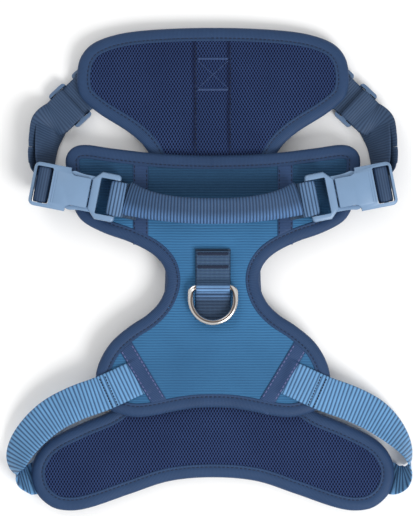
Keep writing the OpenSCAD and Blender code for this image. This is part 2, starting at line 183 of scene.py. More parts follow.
# %% Shader arithmetic
class Wire:
    """A shader socket that takes part in arithmetic."""

    def __init__(self, look, socket):
        self.look = look
        self.socket = socket

    def math(self, operation, *others):
        values = dict(enumerate((self, *others)))
        return self.look.node("ShaderNodeMath", {"operation": operation}, values)

    def __add__(self, other):
        return self.math("ADD", other)

    def __sub__(self, other):
        return self.math("SUBTRACT", other)

    def __mul__(self, other):
        return self.math("MULTIPLY", other)

    def __truediv__(self, other):
        return self.math("DIVIDE", other)

    def __pow__(self, other):
        return self.math("POWER", other)

    def __radd__(self, other):
        return self + other

    def __rmul__(self, other):
        return self * other

    def __rsub__(self, other):
        return self * -1 + other

    def wave(self, pitch):
        """A smooth wave from 0 to 1, highest where self is a whole number of pitches."""
        return (self * (2 * math.pi / pitch)).math("COSINE") * 0.5 + 0.5

    def step(self, low, high):
        """0 below low, 1 above high, and smooth between them."""
        return self.look.node(
            "ShaderNodeMapRange", {"interpolation_type": "SMOOTHSTEP"},
            {"Value": self, "From Min": low, "From Max": high},
        )


class Look:
    """A material, built node by node."""

    def __init__(self, name, **constants):
        self.material = bpy.data.materials.new(name)
        self.material.use_nodes = True
        self.nodes = self.material.node_tree.nodes
        self.shader = self.nodes["Principled BSDF"]
        self.set(**constants)

    def node(self, kind, settings=None, values=None, out=0):
        made = self.nodes.new(kind)
        for key, value in (settings or {}).items():
            setattr(made, key, value)
        for key, value in (values or {}).items():
            self.feed(made.inputs[key], value)
        return Wire(self, made.outputs[out])

    def feed(self, socket, value):
        if isinstance(value, Wire):
            self.material.node_tree.links.new(value.socket, socket)
        else:
            socket.default_value = value

    def set(self, **values):
        for key, value in values.items():
            self.feed(self.shader.inputs[key.replace("_", " ")], value)

    def mix(self, factor, first, second):
        values = {0: factor, 6: first, 7: second}
        return self.node("ShaderNodeMix", {"data_type": "RGBA"}, values, out=2)

    def apart(self, vector):
        """The three parts of a vector, in millimetres."""
        split = self.nodes.new("ShaderNodeSeparateXYZ")
        self.feed(split.inputs[0], vector)
        return [Wire(self, split.outputs[k]) / MM for k in range(3)]

    def place(self):
        return self.node("ShaderNodeTexCoord", out="Object")

    def weave(self):
        """Across and along a strap or a binding, in millimetres."""
        return self.apart(self.node("ShaderNodeUVMap", {"uv_map": "weave"}))[:2]

    def cloud(self, vector, scale, detail=2.0):
        values = {"Vector": vector, "Scale": scale, "Detail": detail}
        return self.node("ShaderNodeTexNoise", None, values, out="Fac")

    def bump(self, height, strength=1.0):
        """Relief of a height in millimetres."""
        values = {"Height": height * MM, "Distance": 1.0, "Strength": strength}
        self.set(Normal=self.node("ShaderNodeBump", None, values, out="Normal"))


def tint(r, g, b):
    return (r, g, b, 1)


def scaled(colour, by):
    """A colour made darker or lighter, with no part above 1."""
    return tuple(min(1, c * by) for c in colour[:3]) + (1,)


print("shader helpers ready")

# %% [markdown]
# ## Ribbed panel fabric
#
# The outside of both panels is a coated polyester with fine raised ribs across the body.
# The ribs are too fine to model, so they are a wave of the distance along Y, with dark
# narrow valleys, a finer thread across them, and a slow cloud of wear. Painted shade darkens
# the cloth towards the neck, and a little towards the tail.

# %% Ribbed panel fabric
def ribbed_fabric():
    look = Look("ribbed_fabric", Roughness=0.7, Specular_IOR_Level=0.18, Sheen_Weight=0.02)
    place = look.place()
    x, y, _ = look.apart(place)
    sway = look.cloud(place, 60) * 0.8
    rib = (y + sway).wave(1.9)
    thread = x.wave(0.62)
    wear = look.cloud(place, 28, 4)
    grain = look.cloud(place, 900, 2)
    valley = (1 - rib) ** 2.2
    cloth = look.mix(wear, tint(0.023, 0.108, 0.245), tint(0.05, 0.2, 0.41))
    # painted shade: darker towards the neck, and a little towards the tail
    shade = y.step(30, 58) * 0.88 + (y * -1).step(20, 80) * 0.25
    cloth = look.mix(shade, cloth, tint(0.006, 0.024, 0.06))
    cloth = look.mix(valley * (look.cloud(place, 110, 2) * 0.9 + 0.2), cloth, tint(0.016, 0.066, 0.155))
    cloth = look.mix(grain * thread * 0.3, cloth, tint(0.075, 0.23, 0.42))
    look.set(Base_Color=cloth)
    look.bump(rib * 0.16 + thread * 0.025 + grain * 0.05)
    return look.material


# %% [markdown]
# ## Air mesh
#
# The lining that touches the dog is a knitted spacer mesh: a net of threads round small
# staggered holes, over a darker backing. The holes are two square lattices, one shifted
# half a pitch both ways, and each hole is a little longer than it is wide. At the chest a
# painted shade darkens the yarn in two grooves, where webbing is sewn under the lining.

# %% Air mesh
HOLE_ACROSS = 2.1
HOLE_ALONG = 3.6


def air_mesh():
    look = Look("air_mesh", Specular_IOR_Level=0.12, Sheen_Weight=0.02)
    place = look.place()
    x, y, _ = look.apart(place)
    bend = look.cloud(place, 45, 1) * 2.2
    x, y = x + bend, y + bend * 0.6

    def hole(shift):
        across = ((x / HOLE_ACROSS + shift).math("FRACT") - 0.5) * (HOLE_ACROSS / 0.78)
        along = ((y / HOLE_ALONG + shift).math("FRACT") - 0.5) * (HOLE_ALONG / 1.28)
        return (across * across + along * along).math("SQRT")

    nearest = hole(0.0).math("MINIMUM", hole(0.5))
    thread = nearest.step(0.42, 1.0)
    wear = look.cloud(place, 30, 3)
    yarn = look.mix(wear, tint(0.017, 0.037, 0.115), tint(0.033, 0.065, 0.18))
    # painted shade in the two grooves along the sewn edges of the chest webbing
    painted_seam_shade = (x.math("ABSOLUTE") - 12.3).math("ABSOLUTE").step(0, 2.6)
    painted_seam_shade = (1 - painted_seam_shade) * y.step(80, 92)
    yarn = look.mix(painted_seam_shade * 0.75, yarn, tint(0.008, 0.014, 0.05))
    look.set(Base_Color=look.mix(thread, tint(0.0025, 0.0045, 0.02), yarn))
    look.set(Roughness=0.9 - thread * 0.3)
    look.bump(thread * 0.42 + look.cloud(place, 1400) * 0.06)
    return look.material


# %% [markdown]
# ## Woven narrow goods
#
# Straps, bindings, tapes and the handle are all narrow woven goods. Their ribs run across
# the strap, so the pattern is laid on a map that holds the distance across and along the
# strap itself. Strap ribs are real relief in the mesh, and the shader darkens the valleys
# between them and adds the yarns. Binding is thinner and has only fine ribs. Some straps
# have painted light: a painted highlight on the fold they show, with painted shade on the
# rest (tail), or a painted highlight towards one edge.

# %% Woven narrow goods
def narrow_weave(
    name, crown, valley, pitch, yarn=0.9, relief=0.05, sheen=0.03, rough=0.55, tail=None, painted_lit_edge=None
):
    look = Look(name, Roughness=rough, Specular_IOR_Level=0.2, Sheen_Weight=sheen)
    across, along = look.weave()
    place = look.place()
    rib = along.wave(pitch)
    strand = across.wave(yarn)
    wear = look.cloud(place, 70, 4)
    fuzz = look.cloud(place, 1600, 2)
    light = scaled(crown, 1.22)
    cloth = look.mix(wear, scaled(crown, 0.8), light)
    # painted light: inside the band that tail gives, the strap keeps its lit crown colour; outside it, the
    # strap is painted dark as shade
    if tail is not None:
        painted_lit_band = along.step(*tail[0]) - along.step(*tail[1])
        cloth = look.mix(painted_lit_band, scaled(crown, 0.2), cloth)
    # painted highlight that grows towards one edge of the strap
    if painted_lit_edge is not None:
        cloth = look.mix((across * -1).step(*painted_lit_edge) * 0.75, cloth, scaled(crown, 2.6))
    cloth = look.mix((1 - rib) ** 1.7 * 0.92, cloth, valley)
    cloth = look.mix(strand * fuzz * 0.35, cloth, light)
    look.set(Base_Color=cloth)
    look.bump(rib * relief + strand * 0.035 + fuzz * 0.05)
    return look.material


# %% [markdown]
# ## Moulded plastic, steel, thread and foam
#
# Buckles and sliders are satin acetal: nearly plain, with a very fine spark-eroded grain
# and slightly duller patches where they rub. The rings are polished steel with faint
# brushed streaks, and the rear ring has a painted line of shade inside its bow. The front
# ring shares the steel, but lies out of that painted shade's reach. Thread is glossy
# polyester. The foam core shows only as a section.

# %% Hard finishes, thread and foam
def satin_plastic(name, colour):
    look = Look(name, Coat_Weight=0.06, Coat_Roughness=0.35)
    place = look.place()
    wear = look.cloud(place, 90, 4)
    grain = look.cloud(place, 2600, 2)
    worn = look.mix(wear, scaled(colour, 0.93), scaled(colour, 1.06))
    look.set(Base_Color=worn, Roughness=0.34 + wear * 0.14)
    look.bump(grain * 0.02 + wear * 0.04)
    return look.material


def polished_steel(name, bow):
    """Steel with a painted line of shade along the inside of a bow whose middle is bow mm up the Y axis."""
    look = Look(name, Metallic=1.0)
    place = look.place()
    x, y, _ = look.apart(place)
    reach = (x * x + (y - bow) * (y - bow)).math("SQRT")
    # painted shade: a dark line along the inside of the rear ring's bow
    painted_bow_shade = reach.step(14.5, 15.1) - reach.step(15.7, 16.5)
    streak = look.cloud(look.node("ShaderNodeMapping", None, {"Vector": place, "Scale": (1, 14, 14)}), 260, 3)
    metal = look.mix(streak, tint(0.62, 0.59, 0.56), tint(0.97, 0.95, 0.92))
    look.set(Base_Color=look.mix(painted_bow_shade * 0.92, metal, tint(0.13, 0.09, 0.075)))
    look.set(Roughness=0.1 + streak * 0.14)
    look.bump(streak * 0.015)
    return look.material


def sewing_thread(name, colour):
    look = Look(name, Roughness=0.45, Specular_IOR_Level=0.3, Sheen_Weight=0.03)
    place = look.place()
    twist = look.cloud(place, 3000, 1)
    look.set(Base_Color=look.mix(twist, scaled(colour, 0.6), colour))
    look.bump(twist * 0.08)
    return look.material


def foam_core():
    look = Look("foam_core", Roughness=0.95)
    cells = look.cloud(look.place(), 1500, 3)
    look.set(Base_Color=look.mix(cells, tint(0.35, 0.37, 0.4), tint(0.6, 0.62, 0.65)))
    look.bump(cells * 0.2)
    return look.material


RIBBED = ribbed_fabric()
MESH = air_mesh()
FOAM = foam_core()
BINDING = narrow_weave(
    "edge_binding", tint(0.024, 0.057, 0.135), tint(0.012, 0.032, 0.085), 0.95, relief=0.05
)
TAPE = narrow_weave("navy_tape", tint(0.026, 0.06, 0.15), tint(0.014, 0.034, 0.09), 1.1, relief=0.05)
NAVY_WEB = narrow_weave("navy_webbing", tint(0.036, 0.066, 0.13), tint(0.008, 0.017, 0.042), 2.65)
SHOULDER_WEB = narrow_weave("shoulder_webbing", tint(0.04, 0.074, 0.14), tint(0.018, 0.036, 0.078), 1.75)
BLUE_WEB = narrow_weave("blue_webbing", tint(0.135, 0.31, 0.55), tint(0.01, 0.03, 0.085), 2.65)
# painted highlight on the fold round the ring's bar, painted shade on the rest of the loop
LOOP_WEB = narrow_weave(
    "loop_webbing", tint(0.15, 0.3, 0.54), tint(0.012, 0.03, 0.08), 2.4, tail=((27, 31), (35, 38))
)
# painted highlight along one edge of the handle
HANDLE_WEB = narrow_weave(
    "handle_webbing", tint(0.042, 0.09, 0.185), tint(0.009, 0.022, 0.052), 2.3, painted_lit_edge=(-12, -3)
)
# painted shadow of the handle's end on the tab, and painted shade past the tab's fold
TAB_WEB = narrow_weave(
    "tab_webbing", tint(0.115, 0.21, 0.37), tint(0.008, 0.02, 0.048), 2.3, tail=((10, 14), (30, 34))
)
# painted highlight where the strip shows past the loop's fold, painted shade on the rest
REST_WEB = narrow_weave(
    "rest_webbing", tint(0.1, 0.2, 0.38), tint(0.005, 0.011, 0.028), 2.4, tail=((29, 30), (33, 38))
)
PLASTIC = satin_plastic("buckle_plastic", tint(0.172, 0.28, 0.44))
SLIDER_PLASTIC = satin_plastic("slider_plastic", tint(0.07, 0.13, 0.235))
REAR_BOW_MIDDLE = -22.0
STEEL = polished_steel("ring_steel", REAR_BOW_MIDDLE)
THREAD = sewing_thread("thread", tint(0.007, 0.018, 0.055))
LIGHT_THREAD = sewing_thread("light_thread", tint(0.04, 0.08, 0.21))
TAPE_THREAD = sewing_thread("tape_thread", tint(0.14, 0.16, 0.36))
print("finishes:", sorted(m.name for m in bpy.data.materials))


def pale_floor():
    look = Look("pale_floor", Roughness=0.9)
    look.set(Base_Color=look.mix(
        look.cloud(look.place(), 8, 2), tint(0.93, 0.93, 0.93), tint(0.96, 0.96, 0.96)
    ))
    return look.material

# %% [markdown]
# ## The panels' outlines
#
# Both panels are symmetric, so half of each outline is enough: points from the middle of
# the neck edge, round the right side, to the middle of the tail edge. A smooth closed curve
# runs through them and their mirror images, and is then cut into equal steps, which keeps
# the stitches and the triangles even.

# %% Outlines
UNDERBODY_HALF = [
    (0, 173), (36, 172), (65, 169), (84.5, 162.5), (94, 153), (97.3, 141), (97, 130), (93.5, 121.5),
    (81, 111), (58.4, 96.5), (46, 83), (38.5, 62), (35, 40), (34, 5), (35.7, -25), (43, -58),
    (54, -83), (71.4, -100.4), (94, -110.5), (115.7, -121.4), (126.5, -133), (130, -146.7),
    (126, -160.7), (115.6, -170.3), (102.5, -173), (87, -170.6), (58.6, -161), (30.7, -152), (0, -149.4),
]
BACK_HALF = [
    (0, 81), (38, 82.3), (71, 86), (90, 88.6), (99.5, 86.8), (104.8, 80), (104.5, 68), (102, 53),
    (98, 41), (91.5, 33), (77, 25.5), (60, 19.5), (45, 12), (36.5, 4), (33.2, -5), (34, -14),
    (38.6, -24), (47, -32.6), (59, -40.5), (71.5, -51), (79.6, -63), (83.6, -76), (82.5, -89),
    (77, -98), (68, -103), (56, -105.6), (43, -104.6), (27, -101.4), (13, -99.2), (0, -98.7),
]
BINDING_WIDTH = 9.6


def both_halves(half):
    return half + [(-x, y) for x, y in half[-2:0:-1]]


def smooth_curve(points, spans, closed=False):
    """A Catmull-Rom curve through points of any dimension."""
    p = np.array(points, float)
    n = len(p)
    ends = (lambda i: i % n) if closed else (lambda i: min(max(i, 0), n - 1))
    made = []
    for i in range(n if closed else n - 1):
        a, b, c, d = (p[ends(i + k)] for k in (-1, 0, 1, 2))
        for k in range(spans):
            u = k / spans
            made.append(0.5 * (2 * b + (c - a) * u + (2 * a - 5 * b + 4 * c - d) * u * u
                               + (3 * b - a - 3 * c + d) * u ** 3))
    if not closed:
        made.append(p[-1])
    return np.array(made)


def even_steps(points, step, closed=False, dims=None):
    """The same line in equal steps of about this length."""
    p = np.vstack([points, points[:1]]) if closed else np.array(points)
    run = np.r_[0, np.cumsum(np.linalg.norm(np.diff(p[:, :dims], axis=0), axis=1))]
    count = max(2, round(run[-1] / step))
    at = np.linspace(0, run[-1], count + 1)
    made = np.column_stack([np.interp(at, run, p[:, k]) for k in range(p.shape[1])])
    return made[:-1] if closed else made


def inset(outline, d):
    """A clockwise outline moved inwards."""
    t = np.roll(outline, -1, 0) - np.roll(outline, 1, 0)
    t /= np.linalg.norm(t, axis=1)[:, None]
    return outline + d * np.column_stack([t[:, 1], -t[:, 0]])


UNDERBODY = even_steps(smooth_curve(both_halves(UNDERBODY_HALF), 12, True), 1.55, True)
BACK = even_steps(smooth_curve(both_halves(BACK_HALF), 12, True), 1.55, True)
print("outline steps:", len(UNDERBODY), "underbody,", len(BACK), "back")

# %% [markdown]
# ## How the panels lie
#
# A soft panel on a table isn't a flat board. Its neck edge and corners settle towards the
# table, the back panel is lifted a little where the handle is sewn, and slow waves run
# through the foam. One height field for each panel carries all of that, and everything sewn
# to the panel is laid on the same field, so nothing floats. It stays close to level under
# the buckles and the rear ring.

# %% Height fields
def ease(value, low, high):
    t = np.clip((value - low) / (high - low), 0, 1)
    return t * t * (3 - 2 * t)


def waves(x, y, seed, size=46.0):
    """Slow, smooth undulation from -1 to 1."""
    return np.array([noise.noise(Vector((a / size, b / size, seed))) * 1.6 for a, b in zip(x, y)])


def underbody_lie(x, y):
    x, y = np.atleast_1d(np.asarray(x, float)), np.atleast_1d(np.asarray(y, float))
    droop = -2.0 * ease(y, 148, 174) - 2.2 * ease(-y, 122, 165) * ease(np.abs(x), 92, 40)
    return droop + waves(x, y, 3.7) * 0.4 * ease(np.abs(y - 10), 60, 120) * ease(np.abs(x), 86, 60)


def back_lie(x, y):
    x, y = np.atleast_1d(np.asarray(x, float)), np.atleast_1d(np.asarray(y, float))
    far = np.abs(x)
    droop = -1.6 * ease(far, 52, 106) * ease(y, 25, 50) * ease(-y, -95, -78)
    droop -= 1.2 * ease(far, 40, 80) * ease(-y, 70, 105)
    free = ease(np.hypot(x, y + 10), 26, 60) * ease(62 - far, -6, 14)
    return droop * 0.6 + (waves(x, y, 9.1) * 0.35 + 0.15) * free


print("the back panel settles by up to", round(float(-back_lie(BACK[:, 0], BACK[:, 1]).min()), 2), "mm")

# %% [markdown]
# ## Mesh helpers
#
# A piece is made from points in millimetres and faces, scaled once into metres, and given
# its finish. Where the finish follows the piece, each corner also gets its place across and
# along the strap, in metres like everything else.

# %% Making a piece
def make_piece(name, points, faces, material, weave=None, smooth=True):
    mesh = bpy.data.meshes.new(name)
    mesh.from_pydata([tuple(p) for p in np.asarray(points, float) * MM], [], [tuple(f) for f in faces])
    mesh.update()
    if weave is not None:
        layer = mesh.uv_layers.new(name="weave")
        at = np.zeros(len(mesh.loops), np.int32)
        mesh.loops.foreach_get("vertex_index", at)
        layer.data.foreach_set("uv", (np.asarray(weave, float)[at] * MM).astype(np.float32).ravel())
    mesh.materials.append(material)
    if smooth:
        mesh.shade_smooth()
    piece = bpy.data.objects.new(name, mesh)
    bpy.context.scene.collection.objects.link(piece)
    return piece


def outwards(piece):
    """Turns every face to the outside, after doubles are merged."""
    deselect()
    bpy.context.view_layer.objects.active = piece
    piece.select_set(True)
    bpy.ops.object.mode_set(mode="EDIT")
    bpy.ops.mesh.select_all(action="SELECT")
    bpy.ops.mesh.remove_doubles(threshold=1e-6)
    bpy.ops.mesh.normals_make_consistent(inside=False)
    bpy.ops.object.mode_set(mode="OBJECT")
    piece.select_set(False)
    return piece


def stand_for(piece, slot, *names):
    """The piece replaces these frame nodes and rides on their body. The slot is not used."""
    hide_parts(*names)
    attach(piece, nodes[names[0]]["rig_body"])
    return piece


# %% [markdown]
# ## The padded panels
#
# Each panel is a fabric face, a foam core and a lining. A closed pad of triangles a few
# millimetres across is blown up gently by the cloth solver while its rim is held, as the
# binding holds it. The foam swells most just inside the binding. The result is capped, so
# the pad stays within its space, and the fabric and lining are then cut from its two faces
# as thin shells over the foam.

# %% The pad's flat pattern
GRID = 4.2


def distance_to(outline, points):
    """How far each point is from an outline."""
    step = np.roll(outline, -1, 0) - outline
    size = (step ** 2).sum(1)
    best = np.full(len(points), 1e9)
    for a, s, q in zip(outline, step, size):
        t = np.clip(((points - a) @ s) / q, 0, 1)
        best = np.minimum(best, np.linalg.norm(points - a - t[:, None] * s, axis=1))
    return best


def inside(outline, points):
    x, y = points[:, 0], points[:, 1]
    found = np.zeros(len(points), bool)
    for (ax, ay), (bx, by) in zip(outline, np.roll(outline, -1, 0)):
        crosses = (ay > y) != (by > y)
        if ay != by:
            found ^= crosses & (x < (bx - ax) * (y - ay) / (by - ay) + ax)
    return found


def flat_pattern(outline):
    """Points and triangles that fill the outline, and the rim's point numbers in order."""
    rim = inset(even_steps(outline, 3.6, True), 1.2)
    low, high = rim.min(0), rim.max(0)
    rows = np.arange(low[1], high[1], GRID * 0.866)
    grid = np.array([(x + GRID / 2 * (k % 2), y) for k, y in enumerate(rows)
                     for x in np.arange(low[0], high[0], GRID)])
    grid = grid[inside(rim, grid)]
    grid = grid[distance_to(rim, grid) > GRID * 0.45]
    every = [Vector(p) for p in np.vstack([rim, grid])]
    edges = [(k, (k + 1) % len(rim)) for k in range(len(rim))]
    points, _, faces, _, _, _ = geometry.delaunay_2d_cdt(every, edges, [], 1, 1e-4)
    return np.array([tuple(p) for p in points]), [tuple(f) for f in faces], len(rim)


print("flat pattern ready")

# %% Blowing up the pad
PUFF_CAP = 1.5


def solved(pad, pinned, pressure):
    """Point positions after twenty frames of the cloth solver."""
    held = pad.vertex_groups.new(name="held")
    for k, weight in enumerate(pinned):
        held.add([k], float(weight), "REPLACE")
    cloth = pad.modifiers.new("puff", "CLOTH")
    cloth.settings.quality = 4
    cloth.settings.mass = 0.08
    cloth.settings.air_damping = 6
    cloth.settings.tension_stiffness = 12
    cloth.settings.compression_stiffness = 12
    cloth.settings.bending_stiffness = 0.4
    cloth.settings.vertex_group_mass = "held"
    cloth.settings.pin_stiffness = 0.6
    cloth.settings.use_pressure = True
    cloth.settings.uniform_pressure_force = pressure
    cloth.settings.effector_weights.gravity = 0
    cloth.collision_settings.use_collision = False
    cloth.point_cache.frame_start = 1
    cloth.point_cache.frame_end = 20
    scene = bpy.context.scene
    for frame_number in range(1, 21):
        scene.frame_set(frame_number)
    shaped = pad.evaluated_get(bpy.context.evaluated_depsgraph_get())
    found = np.zeros(len(pad.data.vertices) * 3, np.float32)
    shaped.data.vertices.foreach_get("co", found)
    pad.modifiers.remove(cloth)
    scene.frame_set(1)
    return found.reshape(-1, 3)


def padded_core(name, outline, low, high, lie):
    """The two faces of a blown-up pad, as heights over its flat pattern."""
    flat, faces, rim = flat_pattern(outline)
    edge = distance_to(outline, flat)
    count = len(flat)
    z = np.r_[np.full(count, high), np.full(count, low)]
    points = np.column_stack([np.vstack([flat, flat]), z])
    wall = [(k, (k + 1) % rim, (k + 1) % rim + count, k + count) for k in range(rim)]
    closed = faces + [tuple(count + k for k in reversed(f)) for f in faces] + wall
    rise = np.zeros(2 * count)
    pad = outwards(make_piece(name, points, closed, FOAM))
    pinned = np.where(edge < 8.6, 1.0, 0.16)
    moved = solved(pad, np.r_[pinned, pinned], 4.0)[:, 2] / MM - z
    rise = np.clip(moved, -PUFF_CAP * 3, PUFF_CAP * 3)
    print(name, "rose by", rise.max().round(2), "and", rise.min().round(2), "mm before the cap")
    most = np.percentile(np.abs(rise), 97)
    rise = np.clip(rise * (PUFF_CAP / max(most, 0.2)), -PUFF_CAP, PUFF_CAP)
    bpy.data.objects.remove(pad)
    return {"flat": flat, "faces": faces, "rim": rim, "edge": edge,
            "top": high + rise[:count], "low": low + rise[count:], "lie": lie(flat[:, 0], flat[:, 1])}


def shell_between(name, core, top, low, material):
    """A closed layer of a panel between two sets of heights, with one subdivision."""
    count = len(core["flat"])
    points = np.vstack([np.column_stack([core["flat"], top + core["lie"]]),
                        np.column_stack([core["flat"], low + core["lie"]])])
    wall = [(k, (k + 1) % core["rim"], (k + 1) % core["rim"] + count, k + count) for k in range(core["rim"])]
    faces = core["faces"] + [tuple(count + k for k in reversed(f)) for f in core["faces"]] + wall
    piece = outwards(make_piece(name, points, faces, material))
    bpy.context.view_layer.objects.active = piece
    rounder = piece.modifiers.new("rounder", "SUBSURF")
    rounder.levels = rounder.render_levels = 1
    bpy.ops.object.modifier_apply(modifier=rounder.name)
    return piece


def flat_area(outline):
    x, y = outline[:, 0], outline[:, 1]
    return abs(np.dot(x, np.roll(y, -1)) - np.dot(y, np.roll(x, -1))) / 2 * MM * MM


SKIN = 0.8


def build_panel(name, outline, low, high, lie, fabric_up, quiet):
    """Fabric, foam and lining of one panel. quiet(x, y) is 0 where the face must stay level."""
    core = padded_core(name + "_pad", outline, low + 0.65, high - 0.7, lie)
    calm = quiet(core["flat"][:, 0], core["flat"][:, 1])
    face, back = (high - 0.7), (low + 0.65)
    core["top"] = face + (core["top"] - face) * calm
    core["low"] = back + (core["low"] - back) * 0.35 * calm
    fabric = ("_fabric", RIBBED, "ribbed_fabric", "_outer_fabric")
    mesh = ("_mesh", MESH, "air_mesh", "_mesh_lining")
    upper, lower = (fabric, mesh) if fabric_up else (mesh, fabric)
    size = (outline.max(0) - outline.min(0)) * MM
    area = min(flat_area(outline), size[0] * size[1])
    for (tail, material, slot, node), high_face, low_face in (
            (upper, core["top"], core["top"] - SKIN), (lower, core["low"] + SKIN, core["low"])):
        piece = shell_between(name + tail, core, high_face, low_face, material)
        stand_for(piece, slot, name + node)
    foam = shell_between(name + "_foam_pad", core, core["top"] - SKIN - 0.05, core["low"] + SKIN + 0.05, FOAM)
    stand_for(foam, "foam_core", name + "_foam")
    print(name, "panel:", len(core["flat"]), "points, flat area", round(area * 1e4), "cm2")
    return core


# %% Both panels
def level_on_back(x, y):
    """Near 0 under the ring's strip, the buckles and the belly straps, 1 on the free face."""
    def clear_of(cx, cy, half_x, half_y, room):
        past_x = np.maximum(np.abs(np.abs(x) - cx) - half_x, 0)
        past_y = np.maximum(np.abs(y - cy) - half_y, 0)
        return ease(np.hypot(past_x, past_y), 0, room)

    ring_strip = clear_of(0, -11, 12.5, 26, 8)
    buckles = clear_of(90, 53, 26, 15, 10)
    belly_straps = clear_of(64, -81, 12, 14, 7)
    return ring_strip * (0.2 + 0.8 * buckles) * (0.2 + 0.8 * belly_straps)


def level_on_underbody(x, y):
    """The chest webbing sewn under the lining shows as a low band with quilted edges."""
    band = 1 - 0.75 * np.exp(-((np.abs(x) - 12.5) / 2.2) ** 2) * ease(y, 78, 90) * ease(-y, -168, -160)
    return band


underbody_core = build_panel(
    "underbody", UNDERBODY, UNDER_LOW, UNDER_HIGH, underbody_lie, False, level_on_underbody
)
back_core = build_panel("back", BACK, BACK_LOW, BACK_HIGH, back_lie, True, level_on_back)

# %% [markdown]
# ## Edge binding and its stitches
#
# A folded tape covers each panel's raw edge. In section it is a soft U: two lips that lie
# on the faces, a rounded rim, and a shallow groove where one row of lockstitch pulls it
# down. The section is swept round the outline, and the groove dips a little at each
# stitch. The stitches themselves are small rounded bars of thread in that groove.

# %% Binding
STITCH_PITCH = 3.1
GROOVE = 7.7
BINDING_SECTION = [
    (9.75, 2.12), (9.8, 2.5), (9.45, 2.76), (8.9, 2.8), (8.3, 2.66), (7.7, 2.46), (7.1, 2.66), (6.4, 2.84),
    (5.2, 2.93), (3.9, 2.86), (2.7, 2.62), (1.6, 2.2), (0.75, 1.5), (0.2, 0.7), (0.0, 0.0),
]
BINDING_INSIDE = [(9.0, 1.95), (3.4, 1.95), (1.7, 1.3), (1.2, 0.0)]


def edge_binding(name, outline, low, high, lie):
    mid, count = (low + high) / 2, len(outline)
    upper = BINDING_SECTION
    lower = [(d, -z) for d, z in upper[-2::-1]]
    inner = [(d, -z) for d, z in BINDING_INSIDE] + BINDING_INSIDE[-2::-1]
    section = np.array(upper + lower + inner)
    run = np.r_[0, np.cumsum(np.linalg.norm(np.diff(outline, axis=0), axis=1))]
    pull = 0.5 + 0.5 * np.cos(run * 2 * math.pi / STITCH_PITCH)
    rings = []
    for d, z in section:
        depth = 0.22 * math.exp(-((d - GROOVE) / 0.9) ** 2) * (1 if abs(z) > 2.3 else 0)
        flat = inset(outline, d)
        rings.append(np.column_stack([flat, np.full(count, mid + z) - math.copysign(1, z) * depth * pull]))
    points = np.stack(rings, 1).reshape(-1, 3)
    points[:, 2] += lie(points[:, 0], points[:, 1])
    m = len(section)
    faces = [(i * m + k, i * m + (k + 1) % m, ((i + 1) % count) * m + (k + 1) % m, ((i + 1) % count) * m + k)
             for i in range(count) for k in range(m)]
    girth = np.r_[0, np.cumsum(np.linalg.norm(np.diff(section, axis=0), axis=1))]
    weave = np.stack(np.broadcast_arrays(girth[None, :], run[:, None]), 2).reshape(-1, 2)
    piece = outwards(make_piece(name + "_binding", points, faces, BINDING, weave))
    stand_for(piece, "edge_binding", name + "_edge_binding")
    print(piece.name, len(faces), "faces")
    return piece


# %% Stitches
def stitches(name, points, directions, material, length=2.2, radius=0.3, body="harness"):
    """Short rounded bars of thread, one at each point, along its direction."""
    round_bar = [(-0.5, 0.0), (-0.42, 0.75), (-0.2, 1.0), (0.2, 1.0), (0.42, 0.75), (0.5, 0.0)]
    sides = 6
    points, directions = np.asarray(points, float), np.asarray(directions, float)
    t = directions / np.linalg.norm(directions, axis=1)[:, None]
    side = np.cross(np.array([0, 0, 1.0]), t)
    side /= np.linalg.norm(side, axis=1)[:, None]
    up = np.cross(t, side)
    verts, faces = [], []
    for k in range(len(points)):
        base = len(verts)
        for a, r in round_bar:
            for j in range(sides if r else 1):
                angle = 2 * math.pi * j / sides
                verts.append(points[k] + t[k] * a * length
                             + (side[k] * math.cos(angle) * 1.25 + up[k] * math.sin(angle)) * r * radius)
        rings = [base + 1 + sides * i for i in range(4)]
        for j in range(sides):
            n = (j + 1) % sides
            faces.append((base, rings[0] + n, rings[0] + j))
            for a, b in zip(rings, rings[1:]):
                faces.append((a + j, a + n, b + n, b + j))
            faces.append((rings[3] + j, rings[3] + n, rings[3] + sides))
    piece = outwards(make_piece(name, verts, faces, material))
    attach(piece, body)
    return piece


def binding_stitches(name, outline, low, high, lie):
    """A row of lockstitch on both lips of a binding."""
    run = even_steps(inset(outline, GROOVE), STITCH_PITCH, True)
    along = np.roll(run, -1, 0) - np.roll(run, 1, 0)
    rest = lie(run[:, 0], run[:, 1])
    top = np.column_stack([run, np.full(len(run), high - 0.38) + rest])
    bottom = np.column_stack([run, np.full(len(run), low + 0.38) + rest])
    flat = np.column_stack([along, np.zeros(len(run))])
    return stitches(name, np.vstack([top, bottom]), np.vstack([flat, flat]), THREAD)


edge_binding("underbody", UNDERBODY, UNDER_LOW, UNDER_HIGH, underbody_lie)
edge_binding("back", BACK, BACK_LOW, BACK_HIGH, back_lie)
binding_stitches("underbody_binding_stitches", UNDERBODY, UNDER_LOW, UNDER_HIGH, underbody_lie)
binding_stitches("back_binding_stitches", BACK, BACK_LOW, BACK_HIGH, back_lie)

# %% [markdown]
# ## Straps
#
# Webbing is modelled directly: a rounded flat section swept along the strap's own line, with
# a ring of points every half millimetre so that the cross ribs are real relief. A strap is
# given by its centre line and either its roll round that line or the direction across it.

# %% Strap helper
STRAP_STEP = 0.44
SECTION = [-1.0, -0.96, -0.86, -0.62, -0.3, 0.0, 0.3, 0.62, 0.86, 0.96, 1.0]


def unit(v):
    return v / np.maximum(np.linalg.norm(v, axis=-1, keepdims=True), 1e-9)


